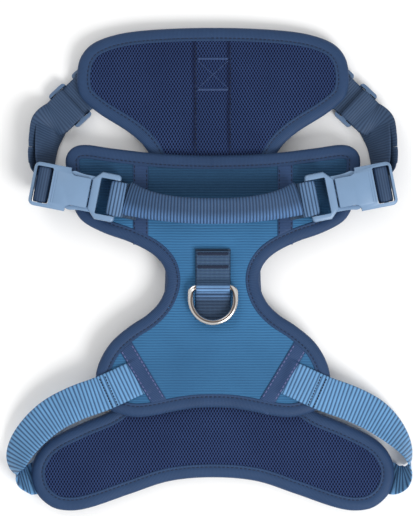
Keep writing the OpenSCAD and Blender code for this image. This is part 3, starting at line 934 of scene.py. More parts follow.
def strap(name, line, across, width, thick, material, pitch=2.65, relief=0.16, lift=None, crown=9):
    """Flat webbing along a dense line of points, with the direction across it at each one."""
    dense = even_steps(np.column_stack([line, across, width]), STRAP_STEP, dims=3)
    p, a, w = dense[:, :3], dense[:, 3:6], dense[:, 6]
    t = unit(np.gradient(p, axis=0))
    a = unit(a - (a * t).sum(1, keepdims=True) * t)
    n = np.cross(t, a)
    run = np.r_[0, np.cumsum(np.linalg.norm(np.diff(p, axis=0), axis=1))]
    rib = np.cos(run * 2 * math.pi / pitch)
    half = thick / 2
    top = [(s, math.sqrt(max(0.0, 1 - abs(s) ** crown)) * half) for s in SECTION]
    ring = top + [(s, -h) for s, h in reversed(top[1:-1])]
    cols = []
    for s, h in ring:
        flat = 1 - abs(s) ** 7
        swell = math.copysign(1, h) * relief * rib * flat if abs(h) > 1e-6 else np.zeros(len(p))
        cols.append(p + a * (s * w / 2)[:, None] + n * (h + swell)[:, None])
    m, count = len(ring), len(p)
    points = np.stack(cols, 1).reshape(-1, 3)
    if lift is not None:
        points[:, 2] += lift(points[:, 0], points[:, 1])
    faces = [(i * m + k, i * m + (k + 1) % m, (i + 1) * m + (k + 1) % m, (i + 1) * m + k)
             for i in range(count - 1) for k in range(m)]
    faces += [tuple(range(m)), tuple((count - 1) * m + k for k in reversed(range(m)))]
    side = np.array([s for s, _ in ring])
    weave = np.stack(
        np.broadcast_arrays((side[None, :] + 1) * w[:, None] / 2, run[:, None]), 2
    ).reshape(-1, 2)
    return outwards(make_piece(name, points, faces, material, weave))


def rolled(route):
    """Dense line, across and width from stations of across, along, height, roll and width."""
    dense = smooth_curve(route, 24)
    p, roll, w = dense[:, :3], np.radians(dense[:, 3]), dense[:, 4]
    t = unit(np.gradient(p, axis=0))
    up = unit(np.array([0, 0, 1.0]) - t[:, 2:3] * t)
    n = up * np.cos(roll)[:, None] + np.cross(t, up) * np.sin(roll)[:, None]
    return p, np.cross(n, t), w


def framed(points, across, width):
    """Dense line, across and width from points and the direction across each."""
    widths = np.full((len(points), 1), width) if np.isscalar(width) else np.array(width)[:, None]
    dense = smooth_curve(np.column_stack([points, across, widths]), 24)
    return dense[:, :3], dense[:, 3:6], dense[:, 6]


def mirrored(side, line, across, width):
    """The same strap on the left when side is -1."""
    flip = np.array([side, 1, 1.0])
    return line * flip, across * flip, width


SIDES = {"left": -1, "right": 1}
print("strap helper ready")

# %% [markdown]
# ## Tapes sewn on the back panel
#
# Four narrow tapes reinforce the places that carry load: two run down from the neck edge
# behind the buckles, and two cross the lower corners over the ends of the belly straps. They
# lie on the puffed face, so their height is read from the fabric under them, and their ends
# dive under the edge binding.

# %% Reading the face under a tape
from mathutils.bvhtree import BVHTree


def face_reader(core, top=True):
    heights = (core["top"] if top else core["low"]) + core["lie"]
    points = [Vector((x, y, z)) for (x, y), z in zip(core["flat"], heights)]
    tree = BVHTree.FromPolygons(points, core["faces"])

    def read(x, y, default):
        hit = tree.ray_cast(Vector((x, y, 200 if top else -200)), Vector((0, 0, -1 if top else 1)))[0]
        return default if hit is None else hit.z

    return lambda xs, ys, default: np.array([read(x, y, default) for x, y in zip(xs, ys)])


back_face = face_reader(back_core)
FACE = BACK_HIGH - 0.7


def laid_on_back(x, y):
    """How much a tape drawn at the flat face's level rises or dips with the face and the binding."""
    edge = distance_to(BACK, np.column_stack([x, y]))
    under = ease(edge, BINDING_WIDTH + 0.9, BINDING_WIDTH - 0.6)
    rest = back_face(x, y, FACE) - FACE
    return rest - 0.62 * under


def tape_on_back(name, start, end, width, side, lift, node, thick=0.8, count=24):
    s = np.linspace(0, 1, count)[:, None]
    line = np.array(start) * (1 - s) + np.array(end) * s
    heading = unit(np.array(end, float) - np.array(start, float))
    across = np.tile(np.cross(heading, [0, 0, 1.0]), (count, 1))
    piece = strap(
        name, *mirrored(side, line, across, np.full(count, width)), thick, TAPE, pitch=1.1, relief=0.02,
        lift=lift
    )
    return stand_for(piece, "navy_tape", node)


STRAP_START = np.array([54, -77.4])
STRAP_HEADING = math.radians(-24.4)
CORNER_LEAN = math.radians(59)


def over_the_strap(x, y):
    """The corner tape climbs over the end of the belly strap under it."""
    rel = np.column_stack([np.abs(x), y]) - STRAP_START
    along = rel @ [math.cos(STRAP_HEADING), math.sin(STRAP_HEADING)]
    off = np.abs(rel @ [-math.sin(STRAP_HEADING), math.cos(STRAP_HEADING)])
    climb = ease(along, -6.5, -0.5) * ease(off, 14.2, 11.5)
    return laid_on_back(x, y) * (1 - climb * 0.8) + 1.75 * climb


for word, side in SIDES.items():
    z = FACE + 0.42
    tape_on_back(
        "wing_tape_band_" + word, (51.5, 79, z), (51.5, 17.5, z), 10.8, side, laid_on_back,
        "wing_tape_" + word
    )
    out = np.array([math.sin(CORNER_LEAN), -math.cos(CORNER_LEAN)]) * 5.4
    run = np.array([math.cos(CORNER_LEAN), math.sin(CORNER_LEAN)])
    middle = np.array([44.5, -74]) + out
    low, high = middle - run * 28.5, middle + run * 31
    tape_on_back(
        "corner_tape_band_" + word, (*low, z), (*high, z), 10.8, side, over_the_strap, "corner_tape_" + word
    )
    rows = []
    for off in (-4.2, 4.2):
        rows += [middle + out / 5.4 * off + run * s for s in np.arange(-21, 25, STITCH_PITCH)]
    rows = [r for r in rows if distance_to(BACK, np.array([r]))[0] > BINDING_WIDTH + 1]
    x, y = np.array(rows).T
    at = np.column_stack([x * side, y, z + 0.34 + over_the_strap(x * side, y)])
    stitches(
        "corner_tape_stitches_" + word, at, np.tile([run[0] * side, run[1], 0], (len(at), 1)), TAPE_THREAD,
        radius=0.34
    )
    y = np.arange(20, 74, STITCH_PITCH)
    x = np.repeat([47.2, 55.8], len(y))
    y = np.tile(y, 2)
    keep = distance_to(BACK, np.column_stack([x, y])) > BINDING_WIDTH + 1
    x, y = x[keep] * side, y[keep]
    at = np.column_stack([x, y, z + 0.34 + laid_on_back(x, y)])
    stitches("wing_tape_stitches_" + word, at, np.tile([0, 1.0, 0], (len(at), 1)), THREAD)
print("tapes laid on the back panel")

# %% [markdown]
# ## Belly straps
#
# Each belly strap starts under its corner tape, crosses the binding, swings out and down in
# a wide curve while it turns on edge, and folds back under the belly band, where it passes
# through its slider and is sewn round its strap ring. The left one lies flatter over its
# bend than the right one, so it has rolls of its own there.

# %% Belly straps
BELLY_ROUTE = [
    (53, -77.0, 18.9, 0, 25), (60, -80.0, 19.5, 0, 25), (69, -84.2, 19.8, 0, 25), (80, -89, 19.7, -1, 25),
    (98, -95.6, 18.8, -6, 25), (115, -104.2, 16.6, -20, 25), (129, -116, 14.2, -42, 25),
    (138.4, -129, 13.4, -66, 25), (140.8, -141, 13.2, -88, 25), (137.6, -148.6, 11.2, -118, 23),
    (131.6, -151.6, 6.0, -152, 22), (125, -150.2, 3.0, -179, 24), (117, -150, 2.9, -180, 25),
    (108, -150, 2.9, -180, 25), (99.5, -150, 2.9, -180, 25),
]
LEFT_END = [
    (115, -104.6, 17.0, -12, 25), (129, -117, 15.4, -24, 25), (138.2, -130, 13.8, -38, 25),
    (141.2, -141, 12.6, -58, 24.6),
    (139.2, -149.6, 12.2, -100, 22.4), (132.6, -152.0, 7.3, -148, 22), (125, -150.2, 3.0, -179, 24),
]
BELLY_Y = -150
belly_eye = [
    (99.5, 2.9), (96.8, 3.8), (95, 4.9), (93, 5.15), (91.1, 4.5), (90.5, 2.9), (91.1, 1.3), (93, 0.8),
    (96, 1.1), (101.5, 1.5)
]


def joined(first, second):
    return tuple(np.concatenate([a[:-1], b]) for a, b in zip(first, second))


def eye_band(points, y, across_y, width):
    """A strap's turn round a bar that lies along Y, from points of X and height."""
    line = [(x, y, z) for x, z in points]
    return framed(line, np.tile([0, across_y, 0.0], (len(line), 1)), width)


for word, side in SIDES.items():
    route = BELLY_ROUTE[:5] + LEFT_END + BELLY_ROUTE[12:] if side < 0 else BELLY_ROUTE
    belly_line = rolled(route)
    end_across = np.sign(belly_line[1][-1][1])
    whole = joined(belly_line, eye_band(belly_eye, BELLY_Y, end_across, 25.0))
    piece = strap("belly_webbing_" + word, *mirrored(side, *whole), 1.4, BLUE_WEB)
    stand_for(piece, "blue_webbing", "belly_strap_" + word)
    c, s = math.cos(STRAP_HEADING), math.sin(STRAP_HEADING)
    rows = [
        (54 + c * a - s * b, -77.4 + s * a + c * b)
        for a in (20.4, 24.6) for b in np.arange(-11.4, 11.6, 2.1)
    ]
    at = np.array([(x * side, y, 20.58 + 0.004 * (x - 75)) for x, y in rows])
    stitches(
        "belly_strap_stitches_" + word, at, np.tile([-s * side, c, 0], (len(at), 1)), THREAD, length=1.7,
        radius=0.34
    )
    tab = [
        (64, 6.35), (70, 6.35), (76.5, 6.3), (80, 6.0), (83, 5.15), (85, 4.5), (85.5, 2.9), (85, 1.3),
        (83, 0.75), (80.6, 1.4), (77.5, 3.9), (74, 4.9), (69, 5.0), (64, 5.0)
    ]
    piece = strap(
        "belly_tab_fold_" + word, *mirrored(side, *eye_band(tab, BELLY_Y, 1.0, 25.0)), 1.1, NAVY_WEB
    )
    stand_for(piece, "navy_webbing", "belly_tab_" + word)
print("belly straps:", len(piece.data.vertices), "points in a tab")

# %% [markdown]
# ## Shoulder straps
#
# A shoulder strap is one long piece of webbing. It is sewn round the ring on the chest
# panel, passes flat through the slider, turns on edge as it rises to the buckle, threads up
# through the buckle's slot, over the sunken bar and back along itself, and ends sewn round
# the slider's middle bar. It is made in two lengths that meet in the free curve.

# %% Shoulder straps
SLIDER_AT = np.array([102.5, 117.5])
HEADING = math.radians(-43)
STRAP_LEVEL = 5.0
AHEAD = np.array([math.cos(HEADING), math.sin(HEADING)])
ASIDE = np.array([-math.sin(HEADING), math.cos(HEADING)])


def on_heading(s, z):
    return (*(SLIDER_AT + AHEAD * s), z)


flat_across = (*ASIDE, 0)
near_side = [
    (-9.5, 3.05), (-12.8, 2.1), (-15.8, 1.65), (-18.1, 2.5), (-18.7, 3.9), (-18.1, 5.4), (-15.8, 6.15),
    (-13, 5.6), (-10, 5.05)
]
ROUND_RING = [(on_heading(s, z), flat_across, 25) for s, z in near_side]
BUCKLE_AT = np.array([98, 55.5])
BUCKLE_TURN = math.radians(11)
U = np.array([math.cos(BUCKLE_TURN), math.sin(BUCKLE_TURN), 0])
V = np.array([-math.sin(BUCKLE_TURN), math.cos(BUCKLE_TURN), 0])
BUCKLE_LEVEL = (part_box("female_shell_right")[0].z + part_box("female_shell_right")[1].z) / 2 / MM


def in_buckle(u, v, w):
    return (*BUCKLE_AT, BUCKLE_LEVEL) + U * u + V * v + np.array([0, 0, w])


TILTED = (0.56, 0.12, 0.82)
INNER_WAY = [(on_heading(s, STRAP_LEVEL), flat_across, 25) for s in (-4, 2, 7, 11, 14)] + [
    ((115.6, 103.8, 6.6), (0.78, 0.52, 0.35), 25), ((118.4, 92.5, 9.6), (0.66, 0.25, 0.7), 24.6),
    ((119.6, 81, 11.0), TILTED, 24), ((119.4, 73, 11.2), (0.4, 0.52, 0.75), 24),
    ((118.6, 66, 12.2), (0.12, 0.85, 0.5), 24),
    (tuple(in_buckle(18.9, 0, -9.2)), tuple(V), 24.4), (tuple(in_buckle(18.7, 0, -5)), tuple(V), 25),
    (tuple(in_buckle(18.7, 0, -0.6)), tuple(V), 25.4),
    (tuple(in_buckle(19.6, 0, 1.9)), tuple(V), 25.5), (tuple(in_buckle(23, 0, 2.9)), tuple(V), 25.5),
    (tuple(in_buckle(26.6, 0, 1.9)), tuple(V), 25.5), (tuple(in_buckle(27.6, 0, -0.6)), tuple(V), 25.4),
    (tuple(in_buckle(27.6, 0, -4.6)), tuple(V), 25), (tuple(in_buckle(27.6, 0, -8)), tuple(V), 24.4),
    (tuple(in_buckle(28.6, 2.5, -11.4)), (-0.1, 0.85, 0.5), 24), ((126.6, 69, 12.6), (0.1, 0.6, 0.8), 24),
    ((125.3, 74, 11.9), (0.42, 0.3, 0.82), 24), ((124.8, 82, 11.6), TILTED, 24),
    ((124.4, 86, 11.4), TILTED, 24),
]
OUTER_WAY = [
    ((124.4, 86, 11.4), TILTED, 24), ((123.0, 94, 10.9), (0.64, 0.24, 0.73), 24.4),
    ((119.4, 103.4, 9.4), (0.76, 0.46, 0.45), 24.6),
] + [(on_heading(s, z), flat_across, 24.6) for s, z in
     ((13, 8.6), (8.5, 8.0), (5.2, 8.3), (2.9, 8.9), (0, 9.1), (-2.4, 8.6), (-3.2, 7.2), (-3.3, 6.2))]


def along_way(stations):
    places, acrosses, widths = zip(*stations)
    return framed(np.array(places, float), np.array(acrosses, float), widths)


for word, side in SIDES.items():
    lower = strap(
        "shoulder_webbing_" + word, *mirrored(side, *along_way(ROUND_RING + INNER_WAY)), 1.35, SHOULDER_WEB,
        pitch=1.75, relief=0.07
    )
    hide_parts("shoulder_strap_" + word)
    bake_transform(lower)
    upper = strap(
        "shoulder_webbing_return_" + word, *mirrored(side, *along_way(OUTER_WAY)), 1.3, SHOULDER_WEB,
        pitch=1.75, relief=0.07
    )
    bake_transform(upper)
    tab = [
        (-43, 6.4), (-31, 6.35), (-28.6, 6.3), (-26, 6.15), (-23.9, 5.3), (-23.4, 3.9), (-23.9, 2.5),
        (-26, 1.65), (-28.4, 2.4), (-30.5, 4.3), (-33, 4.95), (-43, 5.0)
    ]
    line = [on_heading(s, z) for s, z in tab]
    piece = strap(
        "chest_tab_fold_" + word,
        *mirrored(side, *framed(line, np.tile(flat_across, (len(line), 1)), 25.0)), 1.1, NAVY_WEB
    )
    stand_for(piece, "navy_webbing", "chest_tab_" + word)
print("shoulder straps:", len(lower.data.vertices), "points each")

# %% [markdown]
# ## Buckle tabs and grab handle
#
# A short length of webbing holds the male half of each buckle: it goes round the bar and
# its two layers are sewn to the back panel. The handle's ends are caught in the same
# stack. The handle itself is doubled webbing, arched over the back and leaning to the tail,
# with softly rounded edges.

# %% Buckle tabs and handle
TAB_WAY = [
    (-46, -5.05), (-41, -4.2), (-37, -1.2), (-34, 1.9), (-31, 3.1), (-27.6, 2.9), (-25.4, 1.3),
    (-25.2, -1.4), (-27.4, -3.0), (-31, -3.3), (-36, -4.0), (-40, -5.1), (-46, -5.9)
]
for word, side in SIDES.items():
    line = [in_buckle(u, 0, w + 0.35) for u, w in TAB_WAY]
    across = np.tile(V, (len(line), 1))
    piece = strap(
        "buckle_tab_fold_" + word, *mirrored(side, *framed(np.array(line), across, 24.6)), 1.4, TAB_WEB
    )
    stand_for(piece, "blue_webbing", "buckle_tab_" + word)

_, handle_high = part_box("grab_handle")
HANDLE_HALF = handle_high.x / MM + 0.4
HANDLE_STATIONS = []
for k in range(-8, 9):
    f = 1 - abs(k / 8) ** 2.4
    reach = k / 8 * HANDLE_HALF
    end = abs(k / 8) ** 5
    HANDLE_STATIONS.append((
        reach, 49.5 - 8.5 * f + 0.6 * end, 25.6 + 9.8 * f - 0.4 * end, 22 + 8 * f - 14 * end,
        20.6 + 3.8 * end
    ))
handle = strap(
    "grab_handle_webbing", *rolled(HANDLE_STATIONS), 5.4, HANDLE_WEB, pitch=2.3, relief=0.2, crown=2.6
)
stand_for(handle, "navy_webbing", "grab_handle")
print("handle is", round(2 * HANDLE_HALF, 1), "mm long over its ends")

# %% [markdown]
# ## Rear ring's loop, its rest strip and bar tacks
#
# The steel ring hangs in a fold of webbing. Both layers of the fold are locked to the panel
# by two bar tacks, dense rows of thread across the strap. A strip lies under the ring, so
# that it rests on webbing and not on the panel; it is painted dark with shade, save a
# painted highlight past the loop's fold.

# %% Rear ring loop
RING_BAR_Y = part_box("rear_leash_ring")[1].y / MM - 2.1
RING_BAR_Z = (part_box("rear_leash_ring")[0].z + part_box("rear_leash_ring")[1].z) / 2 / MM
LOOP_BASE = BACK_HIGH - 0.6 + 1.5
loop_way = [(12.9, LOOP_BASE + 0.6), (2, LOOP_BASE + 0.6), (-6, LOOP_BASE + 0.6), (-10.5, LOOP_BASE + 0.6)]
loop_way += [
    (RING_BAR_Y - 3.1 * math.sin(a), RING_BAR_Z - 3.1 * math.cos(a))
    for a in np.radians([0, 30, 60, 90, 120, 150, 180, 210])
]
loop_way += [
    (-9.3, RING_BAR_Z + 0.5), (-7.2, LOOP_BASE + 2.5), (-4, LOOP_BASE + 2.05), (2, LOOP_BASE + 2.0),
    (12.9, LOOP_BASE + 2.0)
]


def flat_band(way, width):
    line = [(0, y, z) for y, z in way]
    return framed(line, np.tile([1.0, 0, 0], (len(line), 1)), width)


loop = strap("rear_ring_loop_webbing", *flat_band(loop_way, 24.0), 1.25, LOOP_WEB, pitch=2.4)
stand_for(loop, "blue_webbing", "rear_ring_loop")
strip_way = [
    (14.4, LOOP_BASE - 0.75), (0, LOOP_BASE - 0.75), (-20, LOOP_BASE - 0.75), (-36, LOOP_BASE - 0.75)
]
strip = strap("rear_ring_rest_webbing", *flat_band(strip_way, 25.0), 1.4, REST_WEB, pitch=2.4)
stand_for(strip, "navy_tape", "rear_ring_rest_strip")
tack_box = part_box("bar_tacks")
tacks = []
for y in (tack_box[0].y / MM + 0.9, tack_box[1].y / MM - 0.9):
    tacks += [(x, y + 0.25 * (-1) ** k, LOOP_BASE + 2.85) for k, x in enumerate(np.arange(-10.6, 10.7, 0.56))]
tack = stitches(
    "rear_loop_bar_tacks", tacks, np.tile([0.12, 1.0, 0], (len(tacks), 1)), THREAD, length=2.3, radius=0.36
)
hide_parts("bar_tacks")
print("ring bar at y", round(RING_BAR_Y, 2), "z", round(RING_BAR_Z, 2))

# %% [markdown]
# ## Under the chest
#
# The no-pull ring is held the same way, lower down: a strip of webbing sewn along the middle
# of the chest panel, and a fold round the ring's bar.

# %% Front ring loop and strip
FRONT_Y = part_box("front_leash_ring")[1].y / MM - 1.7
FRONT_Z = (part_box("front_leash_ring")[0].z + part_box("front_leash_ring")[1].z) / 2 / MM
strip_way = [(y, UNDER_LOW - 0.15) for y in np.linspace(84, 161, 9)]
strip = strap("front_ring_strip_webbing", *flat_band(strip_way, 25.0), 1.4, NAVY_WEB, lift=underbody_lie)
stand_for(strip, "navy_tape", "front_ring_strip")
loop_way = [(FRONT_Y + 26, 5.4), (FRONT_Y + 8, 5.4), (FRONT_Y + 4.5, 5.1), (FRONT_Y + 2.2, 4.7)]
loop_way += [
    (FRONT_Y - 2.5 * math.sin(a), FRONT_Z + 2.5 * math.cos(a))
    for a in np.radians([0, 45, 90, 135, 180])
]
loop_way += [(FRONT_Y + 3, 1.0), (FRONT_Y + 6, 2.9), (FRONT_Y + 9.5, 4.1), (FRONT_Y + 26, 4.2)]
loop = strap("front_ring_loop_webbing", *flat_band(loop_way, 24.0), 1.05, NAVY_WEB)
stand_for(loop, "navy_webbing", "front_ring_loop")
print("front ring bar at y", round(FRONT_Y, 2))

# %% [markdown]
# ## Chest box stitch
#
# The chest webbing is locked through all layers by a square of stitching, which shows on
# the lining as a quilted patch with two brighter bars of thread.

# %% Chest stitching on the lining
chest_face = face_reader(underbody_core)


def on_lining(rows):
    x, y = np.array(rows, float).T
    return np.column_stack([x, y, chest_face(x, y, UNDER_HIGH - 0.7) + 0.16])


bars = [(x, y) for y in (150.3, 128.2) for x in np.arange(-10.6, 10.7, 0.62)]
stitches(
    "chest_bar_tacks", on_lining(bars), np.tile([0.5, 1.0, 0], (len(bars), 1)), LIGHT_THREAD, length=1.9,
    radius=0.3
)
edges = [(x, y) for x in (-12.3, 12.3) for y in np.arange(84, 160, STITCH_PITCH)]
stitches("chest_edge_stitches", on_lining(edges), np.tile([0, 1.0, 0], (len(edges), 1)), THREAD, radius=0.34)
box = [(s * (11 - 22 * t), 149 - 20 * t) for t in np.linspace(0.04, 0.96, 14) for s in (-1, 1)]
way = [(-s * 22, -20, 0) for t in range(14) for s in (-1, 1)]
stitches("chest_box_stitches", on_lining(box), way, LIGHT_THREAD, radius=0.22)
print("chest stitching done")

# %% [markdown]
# ## Moulded parts, modelled by hand
#
# Buckles, sliders and strap rings are injection moulded. Each starts as a box of its own
# size, gets its corners turned, its sloped edges chamfered, and its slots and scoops cut
# with second shapes, and ends with a fine bevel on every sharp edge. All are modelled round
# their own middle in millimetres, then scaled and laid in place once.

# %% Modelling helpers
def start_box(name, low, high):
    """A box between two corners, ready for edit mode."""
    deselect()
    middle = [(a + b) / 2 for a, b in zip(low, high)]
    bpy.ops.mesh.primitive_cube_add(size=1, location=middle)
    box = bpy.context.object
    box.name = name
    box.scale = [b - a for a, b in zip(low, high)]
    bpy.ops.object.transform_apply(location=True, rotation=True, scale=True)
    return box


def bevel_where(piece, choose, offset, segments=1):
    """Bevels the edges that choose(end, end) picks."""
    deselect()
    piece.select_set(True)
    bpy.context.view_layer.objects.active = piece
    bpy.ops.object.mode_set(mode="EDIT")
    bpy.ops.mesh.select_mode(type="EDGE")
    bpy.ops.mesh.select_all(action="DESELECT")
    cage = bmesh.from_edit_mesh(piece.data)
    for edge in cage.edges:
        edge.select_set(bool(choose(edge.verts[0].co, edge.verts[1].co)))
    bmesh.update_edit_mesh(piece.data)
    bpy.ops.mesh.bevel(offset=offset, segments=segments, affect="EDGES")
    bpy.ops.object.mode_set(mode="OBJECT")
    return piece


def upright(a, b):
    return abs(a.x - b.x) < 1e-4 and abs(a.y - b.y) < 1e-4


def cut(piece, *cutters, operation="DIFFERENCE"):
    """Cuts the cutters out of the piece, or joins them to it, and removes them."""
    for cutter in cutters:
        deselect()
        bpy.context.view_layer.objects.active = piece
        tool = piece.modifiers.new("cut", "BOOLEAN")
        tool.operation = operation
        tool.solver = "EXACT"
        tool.object = cutter
        bpy.ops.object.modifier_apply(modifier=tool.name)
        bpy.data.objects.remove(cutter)
    return piece


def soften(piece, width, segments=2, angle=32):
    """A fine bevel on sharp edges, then smooth shading up to that angle."""
    deselect()
    piece.select_set(True)
    bpy.context.view_layer.objects.active = piece
    bevel = piece.modifiers.new("soft_edges", "BEVEL")
    bevel.width = width
    bevel.segments = segments
    bevel.limit_method = "ANGLE"
    bevel.angle_limit = math.radians(angle)
    bevel.harden_normals = False
    bpy.ops.object.modifier_apply(modifier=bevel.name)
    bpy.ops.object.shade_smooth_by_angle(angle=math.radians(38))
    return piece


def placed_copy(piece, name, matrix, material):
    """A copy with its own mesh, scaled to metres and laid in place, facing outwards."""
    copy = piece.copy()
    copy.data = piece.data.copy()
    copy.name = copy.data.name = name
    bpy.context.scene.collection.objects.link(copy)
    copy.data.transform(Matrix.Scale(MM, 4) @ matrix)
    if matrix.determinant() < 0:
        copy.data.flip_normals()
    copy.data.materials.clear()
    copy.data.materials.append(material)
    return copy


def to_side(side):
    return Matrix.Diagonal((side, 1, 1, 1))


def buckle_place(side):
    turned = Matrix.Rotation(BUCKLE_TURN, 4, "Z")
    return to_side(side) @ Matrix.Translation((*BUCKLE_AT, BUCKLE_LEVEL)) @ turned


print("modelling helpers ready")

# %% [markdown]
# ## Buckle: the female half
#
# The socket is a flat box with sloped long sides, a rounded outer end, an opening for the
# prongs, two finger scoops that show the pads of the prongs, and a slot with a sunken bar
# that the strap goes round. A raised collar strengthens the mouth and a fine line runs
# beside the slot.

# %% Female half
SHELL_HALF = 15.6
SLOPE = 4.6
socket = start_box("socket", (-10.5, -SHELL_HALF, -3.3), (31, SHELL_HALF, 3.3))
deselect()
socket.select_set(True)
bpy.context.view_layer.objects.active = socket
bpy.ops.object.mode_set(mode="EDIT")
for way in (1, -1):
    bpy.ops.mesh.select_mode(type="FACE")
    bpy.ops.mesh.select_all(action="DESELECT")
    cage = bmesh.from_edit_mesh(socket.data)
    cage.normal_update()
    for face in cage.faces:
        face.select_set(face.normal.z * way > 0.9)
    bmesh.update_edit_mesh(socket.data)
    bpy.ops.mesh.inset(thickness=SLOPE)
    bpy.ops.transform.translate(value=(0, 0, 2.2 * way))
bpy.ops.object.mode_set(mode="OBJECT")
for v in socket.data.vertices:
    if abs(v.co.z) > 4:
        v.co.x = -10.0 if v.co.x < 0 else 28.6
bevel_where(socket, lambda a, b: upright(a, b) and a.x > 30, 4.0, 5)
bevel_where(socket, lambda a, b: upright(a, b) and a.x < -10, 1.0, 2)
scoops = []
for s in (-1, 1):
    scoop = start_box("scoop", (-14, min(s * 10.4, s * 24), -9), (5, max(s * 10.4, s * 24), 9))
    bevel_where(scoop, lambda a, b: upright(a, b) and a.x > 0, 4.4, 6)
    scoops.append(scoop)
cavity = start_box("cavity", (-13, -13.2, -3.4), (14, 13.2, 3.4))
bevel_where(cavity, lambda a, b: abs(a.y - b.y) < 1e-4 and abs(a.z - b.z) < 1e-4, 1.0, 2)
slot = start_box("slot", (17, -13, -9), (29.1, 13, 9))
bevel_where(slot, upright, 1.2, 3)
lines = [start_box("line", (15.1, -11.4, z - 0.3), (15.7, 11.4, z + 0.3)) for z in (-5.5, 5.5)]
lines += [start_box("line", (13.6, -11.4, z - 0.2), (14.0, 11.4, z + 0.2)) for z in (-5.5, 5.5)]
cut(socket, *scoops, cavity, slot, *lines)
bar = start_box("bar", (21.4, -14, -1.9), (24.6, 14, 1.9))
bevel_where(bar, lambda a, b: abs(a.x - b.x) < 1e-4 and abs(a.z - b.z) < 1e-4, 1.0, 3)
cut(socket, bar, operation="UNION")
soften(socket, 0.42, 2)
for word, side in SIDES.items():
    made = placed_copy(socket, "buckle_socket_" + word, buckle_place(side), PLASTIC)
    stand_for(made, "buckle_plastic", "female_shell_" + word)
bpy.data.objects.remove(socket)
print("female half:", len(made.data.polygons), "faces")

# %% [markdown]
# ## Buckle: the male half
#
# The male half is a frame round a wide slot, with a straight bar at its inner end that the
# sewn tab goes round, and a guide tongue that enters the socket between the prongs. Its
# sides narrow to the width of the mouth, and hide the roots of the two prongs.

# %% Male half
frame_part = start_box("frame_part", (-31, -17, -4.9), (-11, 17, 4.9))
bevel_where(frame_part, lambda a, b: upright(a, b) and a.x < -30, 2.4, 3)
bevel_where(frame_part, lambda a, b: upright(a, b) and a.x > -12, 6.3, 1)
bevel_where(frame_part, lambda a, b: abs(a.z - b.z) < 1e-4 and abs(a.z) > 4.8, 1.9, 2)
slot = start_box("slot", (-27.8, -13, -9), (-16.8, 13, 9))
bevel_where(slot, upright, 1.0, 3)
steps = [
    start_box("step", (-34, -13, min(s * 1.7, s * 9)), (-27.7, 13, max(s * 1.7, s * 9)))
    for s in (-1, 1)
]
cut(frame_part, slot, *steps)
tongue = start_box("tongue", (-15, -3.2, -2.2), (11, 3.2, 2.2))
bevel_where(tongue, lambda a, b: upright(a, b) and a.x > 10, 1.6, 2)
tongue_groove = start_box("groove", (-12, -1.2, 1.5), (8, 1.2, 4))
cut(tongue, tongue_groove)
cut(frame_part, tongue, operation="UNION")
soften(frame_part, 0.4, 2)
for word, side in SIDES.items():
    made = placed_copy(frame_part, "buckle_frame_" + word, buckle_place(side), PLASTIC)
    stand_for(made, "buckle_plastic", "male_clip_" + word)
bpy.data.objects.remove(frame_part)
print("male half:", len(made.data.polygons), "faces")

# %% [markdown]
# ## Buckle: the prongs
#
# Each prong is a thin spring that bows out to a finger pad and falls away to its tip. It
# starts as a strip of square faces whose edges are moved onto the prong's two sides, is
# given its height by an extrude, and gets fine grip lines on its pad.

# %% Prongs
ARM_ROOT = -12.0


def prong_outside(d):
    if d < 4:
        return 12.75
    if d < 13.5:
        return 12.75 + 1.15 * ((d - 4) / 9.5) ** 2
    return 13.9 - 3.2 * (1 - math.cos(math.pi / 2 * (d - 13.5) / 6.5))


def prong_inside(d):
    return float(np.interp(d, [-1.4, 0, 8, 15, 20], [10.2, 9.7, 10.2, 10.9, 10.15]))


deselect()
bpy.ops.mesh.primitive_grid_add(x_subdivisions=27, y_subdivisions=1, size=1, location=(0, 0, 0))
prong = bpy.context.object
prong.name = "prong"
for v in prong.data.vertices:
    d = -1.4 + (v.co.x + 0.5) * 21.4
    outer = v.co.y > 0
    v.co = (
        ARM_ROOT + d, prong_outside(max(d, 0)) - (0.7 if d < -1 else 0) if outer else prong_inside(d), -3.1
    )
bpy.ops.object.mode_set(mode="EDIT")
bpy.ops.mesh.select_all(action="SELECT")
bpy.ops.mesh.extrude_region_move(TRANSFORM_OT_translate={"value": (0, 0, 6.2)})
bpy.ops.mesh.select_all(action="SELECT")
bpy.ops.mesh.normals_make_consistent(inside=False)
bpy.ops.object.mode_set(mode="OBJECT")
grips = [start_box("grip", (u - 0.22, 13.3, -2.5), (u + 0.22, 16, 2.5)) for u in (-1.6, -0.5, 0.6, 1.7)]
cut(prong, *grips)
soften(prong, 0.35, 2, 40)
for word, side in SIDES.items():
    for end, flip in (("upper", 1), ("lower", -1)):
        turn = buckle_place(side) @ Matrix.Diagonal((1, flip, 1, 1))
        made = placed_copy(prong, f"buckle_prong_{word}_{end}", turn, PLASTIC)
        stand_for(made, "buckle_plastic", f"latch_arm_{word}_{end}")
bpy.data.objects.remove(prong)
print("prong:", len(made.data.polygons), "faces")

# %% [markdown]
# ## Sliders and strap rings
#
# A slider has two low end bars that the strap passes over and one high middle bar that the
# strap's end is sewn round. A strap ring is a plain rounded frame. Both have soft, worn
# edges.

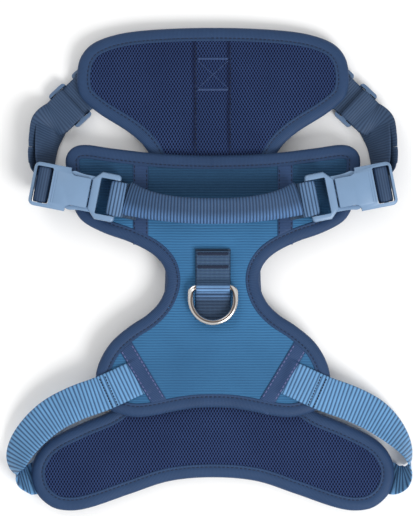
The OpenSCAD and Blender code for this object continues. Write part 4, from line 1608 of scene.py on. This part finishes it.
# %% Sliders and strap rings
slider = start_box("slider", (-7.5, -15.5, -2.9), (7.5, 15.5, 2.9))
bevel_where(slider, upright, 2.5, 5)
room = [
    start_box("room", (min(s * 2.2, s * 12), -13.1, -1.05), (max(s * 2.2, s * 12), 13.1, 12))
    for s in (-1, 1)
]
under = start_box("under", (-4.6, -13.1, -12), (4.6, 13.1, 1.05))
cut(slider, *room, under)
soften(slider, 0.7, 3)
ring = start_box("ring", (-6.5, -15.5, -1.5), (6.5, 15.5, 1.5))
bevel_where(ring, upright, 2.5, 5)
window = start_box("window", (-3.5, -13, -9), (3.5, 13, 9))
bevel_where(window, upright, 1.0, 3)
cut(ring, window)
soften(ring, 0.8, 3)
for word, side in SIDES.items():
    turned = Matrix.Rotation(HEADING, 4, "Z")
    at = to_side(side) @ Matrix.Translation((*SLIDER_AT, STRAP_LEVEL)) @ turned
    stand_for(
        placed_copy(slider, "shoulder_strap_slider_" + word, at, SLIDER_PLASTIC), "buckle_plastic",
        "shoulder_slider_" + word
    )
    at = to_side(side) @ Matrix.Translation(on_heading(-21, STRAP_LEVEL - 1.1)) @ turned
    stand_for(
        placed_copy(ring, "shoulder_strap_ring_" + word, at, SLIDER_PLASTIC), "buckle_plastic",
        "shoulder_ring_" + word
    )
    at = to_side(side) @ Matrix.Translation((111, BELLY_Y, 2.9))
    stand_for(
        placed_copy(slider, "belly_strap_slider_" + word, at, SLIDER_PLASTIC), "buckle_plastic",
        "belly_slider_" + word
    )
    at = to_side(side) @ Matrix.Translation((88, BELLY_Y, 2.9))
    stand_for(
        placed_copy(ring, "belly_strap_ring_" + word, at, SLIDER_PLASTIC), "buckle_plastic",
        "belly_ring_" + word
    )
bpy.data.objects.remove(slider)
bpy.data.objects.remove(ring)
print("sliders and strap rings laid in place")

# %% [markdown]
# ## Leash rings
#
# Each ring is one bent rod: a straight bar, two tight elbows, short sides and a round bow.
# A circle of the rod's own size is carried along that path, square to it at every step,
# and each circle is joined to the next, the last one to the first.

# %% Leash rings
RING_HALF = 15.9
RING_LENGTH = 25.0
ELBOW = 4.0


def leash_ring(name, node, body, bar_y, bar_z, wire):
    path = [
        (RING_HALF * math.cos(a), RING_HALF - RING_LENGTH + RING_HALF * math.sin(a))
        for a in np.linspace(0, -math.pi, 49)
    ]
    path += [
        (-RING_HALF + ELBOW - ELBOW * math.cos(a), -ELBOW + ELBOW * math.sin(a))
        for a in np.linspace(0, math.pi / 2, 9)
    ]
    path += [(x, 0.0) for x in np.linspace(-RING_HALF + ELBOW, RING_HALF - ELBOW, 8)[1:-1]]
    path += [
        (RING_HALF - ELBOW + ELBOW * math.sin(a), -ELBOW + ELBOW * math.cos(a))
        for a in np.linspace(0, math.pi / 2, 9)
    ]
    path = np.array(path)
    run = np.roll(path, -1, 0) - np.roll(path, 1, 0)
    run /= np.linalg.norm(run, axis=1)[:, None]
    sides = 20
    points, faces = [], []
    for (x, y), (dx, dy) in zip(path, run):
        for k in range(sides):
            a = 2 * math.pi * k / sides
            off = wire / 2 * math.cos(a)
            points.append((x - dy * off, y + dx * off + bar_y, bar_z + wire / 2 * math.sin(a)))
    n = len(path)
    for i in range(n):
        for k in range(sides):
            j = (i + 1) % n
            faces.append((
                i * sides + k, i * sides + (k + 1) % sides, j * sides + (k + 1) % sides, j * sides + k
            ))
    piece = outwards(make_piece(name, points, faces, STEEL))
    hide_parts(node)
    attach(piece, body)
    return piece


leash_ring("rear_d_ring", "rear_leash_ring", "rear_ring", RING_BAR_Y, RING_BAR_Z, 4.2)
leash_ring("front_d_ring", "front_leash_ring", "front_ring", FRONT_Y, FRONT_Z, 3.4)
print("rings made")

# %% [markdown]
# ## The floor
#
# A wide, pale floor lies just under the harness.

# %% Floor
bpy.ops.mesh.primitive_grid_add(x_subdivisions=8, y_subdivisions=8, size=6, location=(0, 0, -0.0004))
floor = bpy.context.object
floor.name = "floor"
floor.data.materials.append(pale_floor())
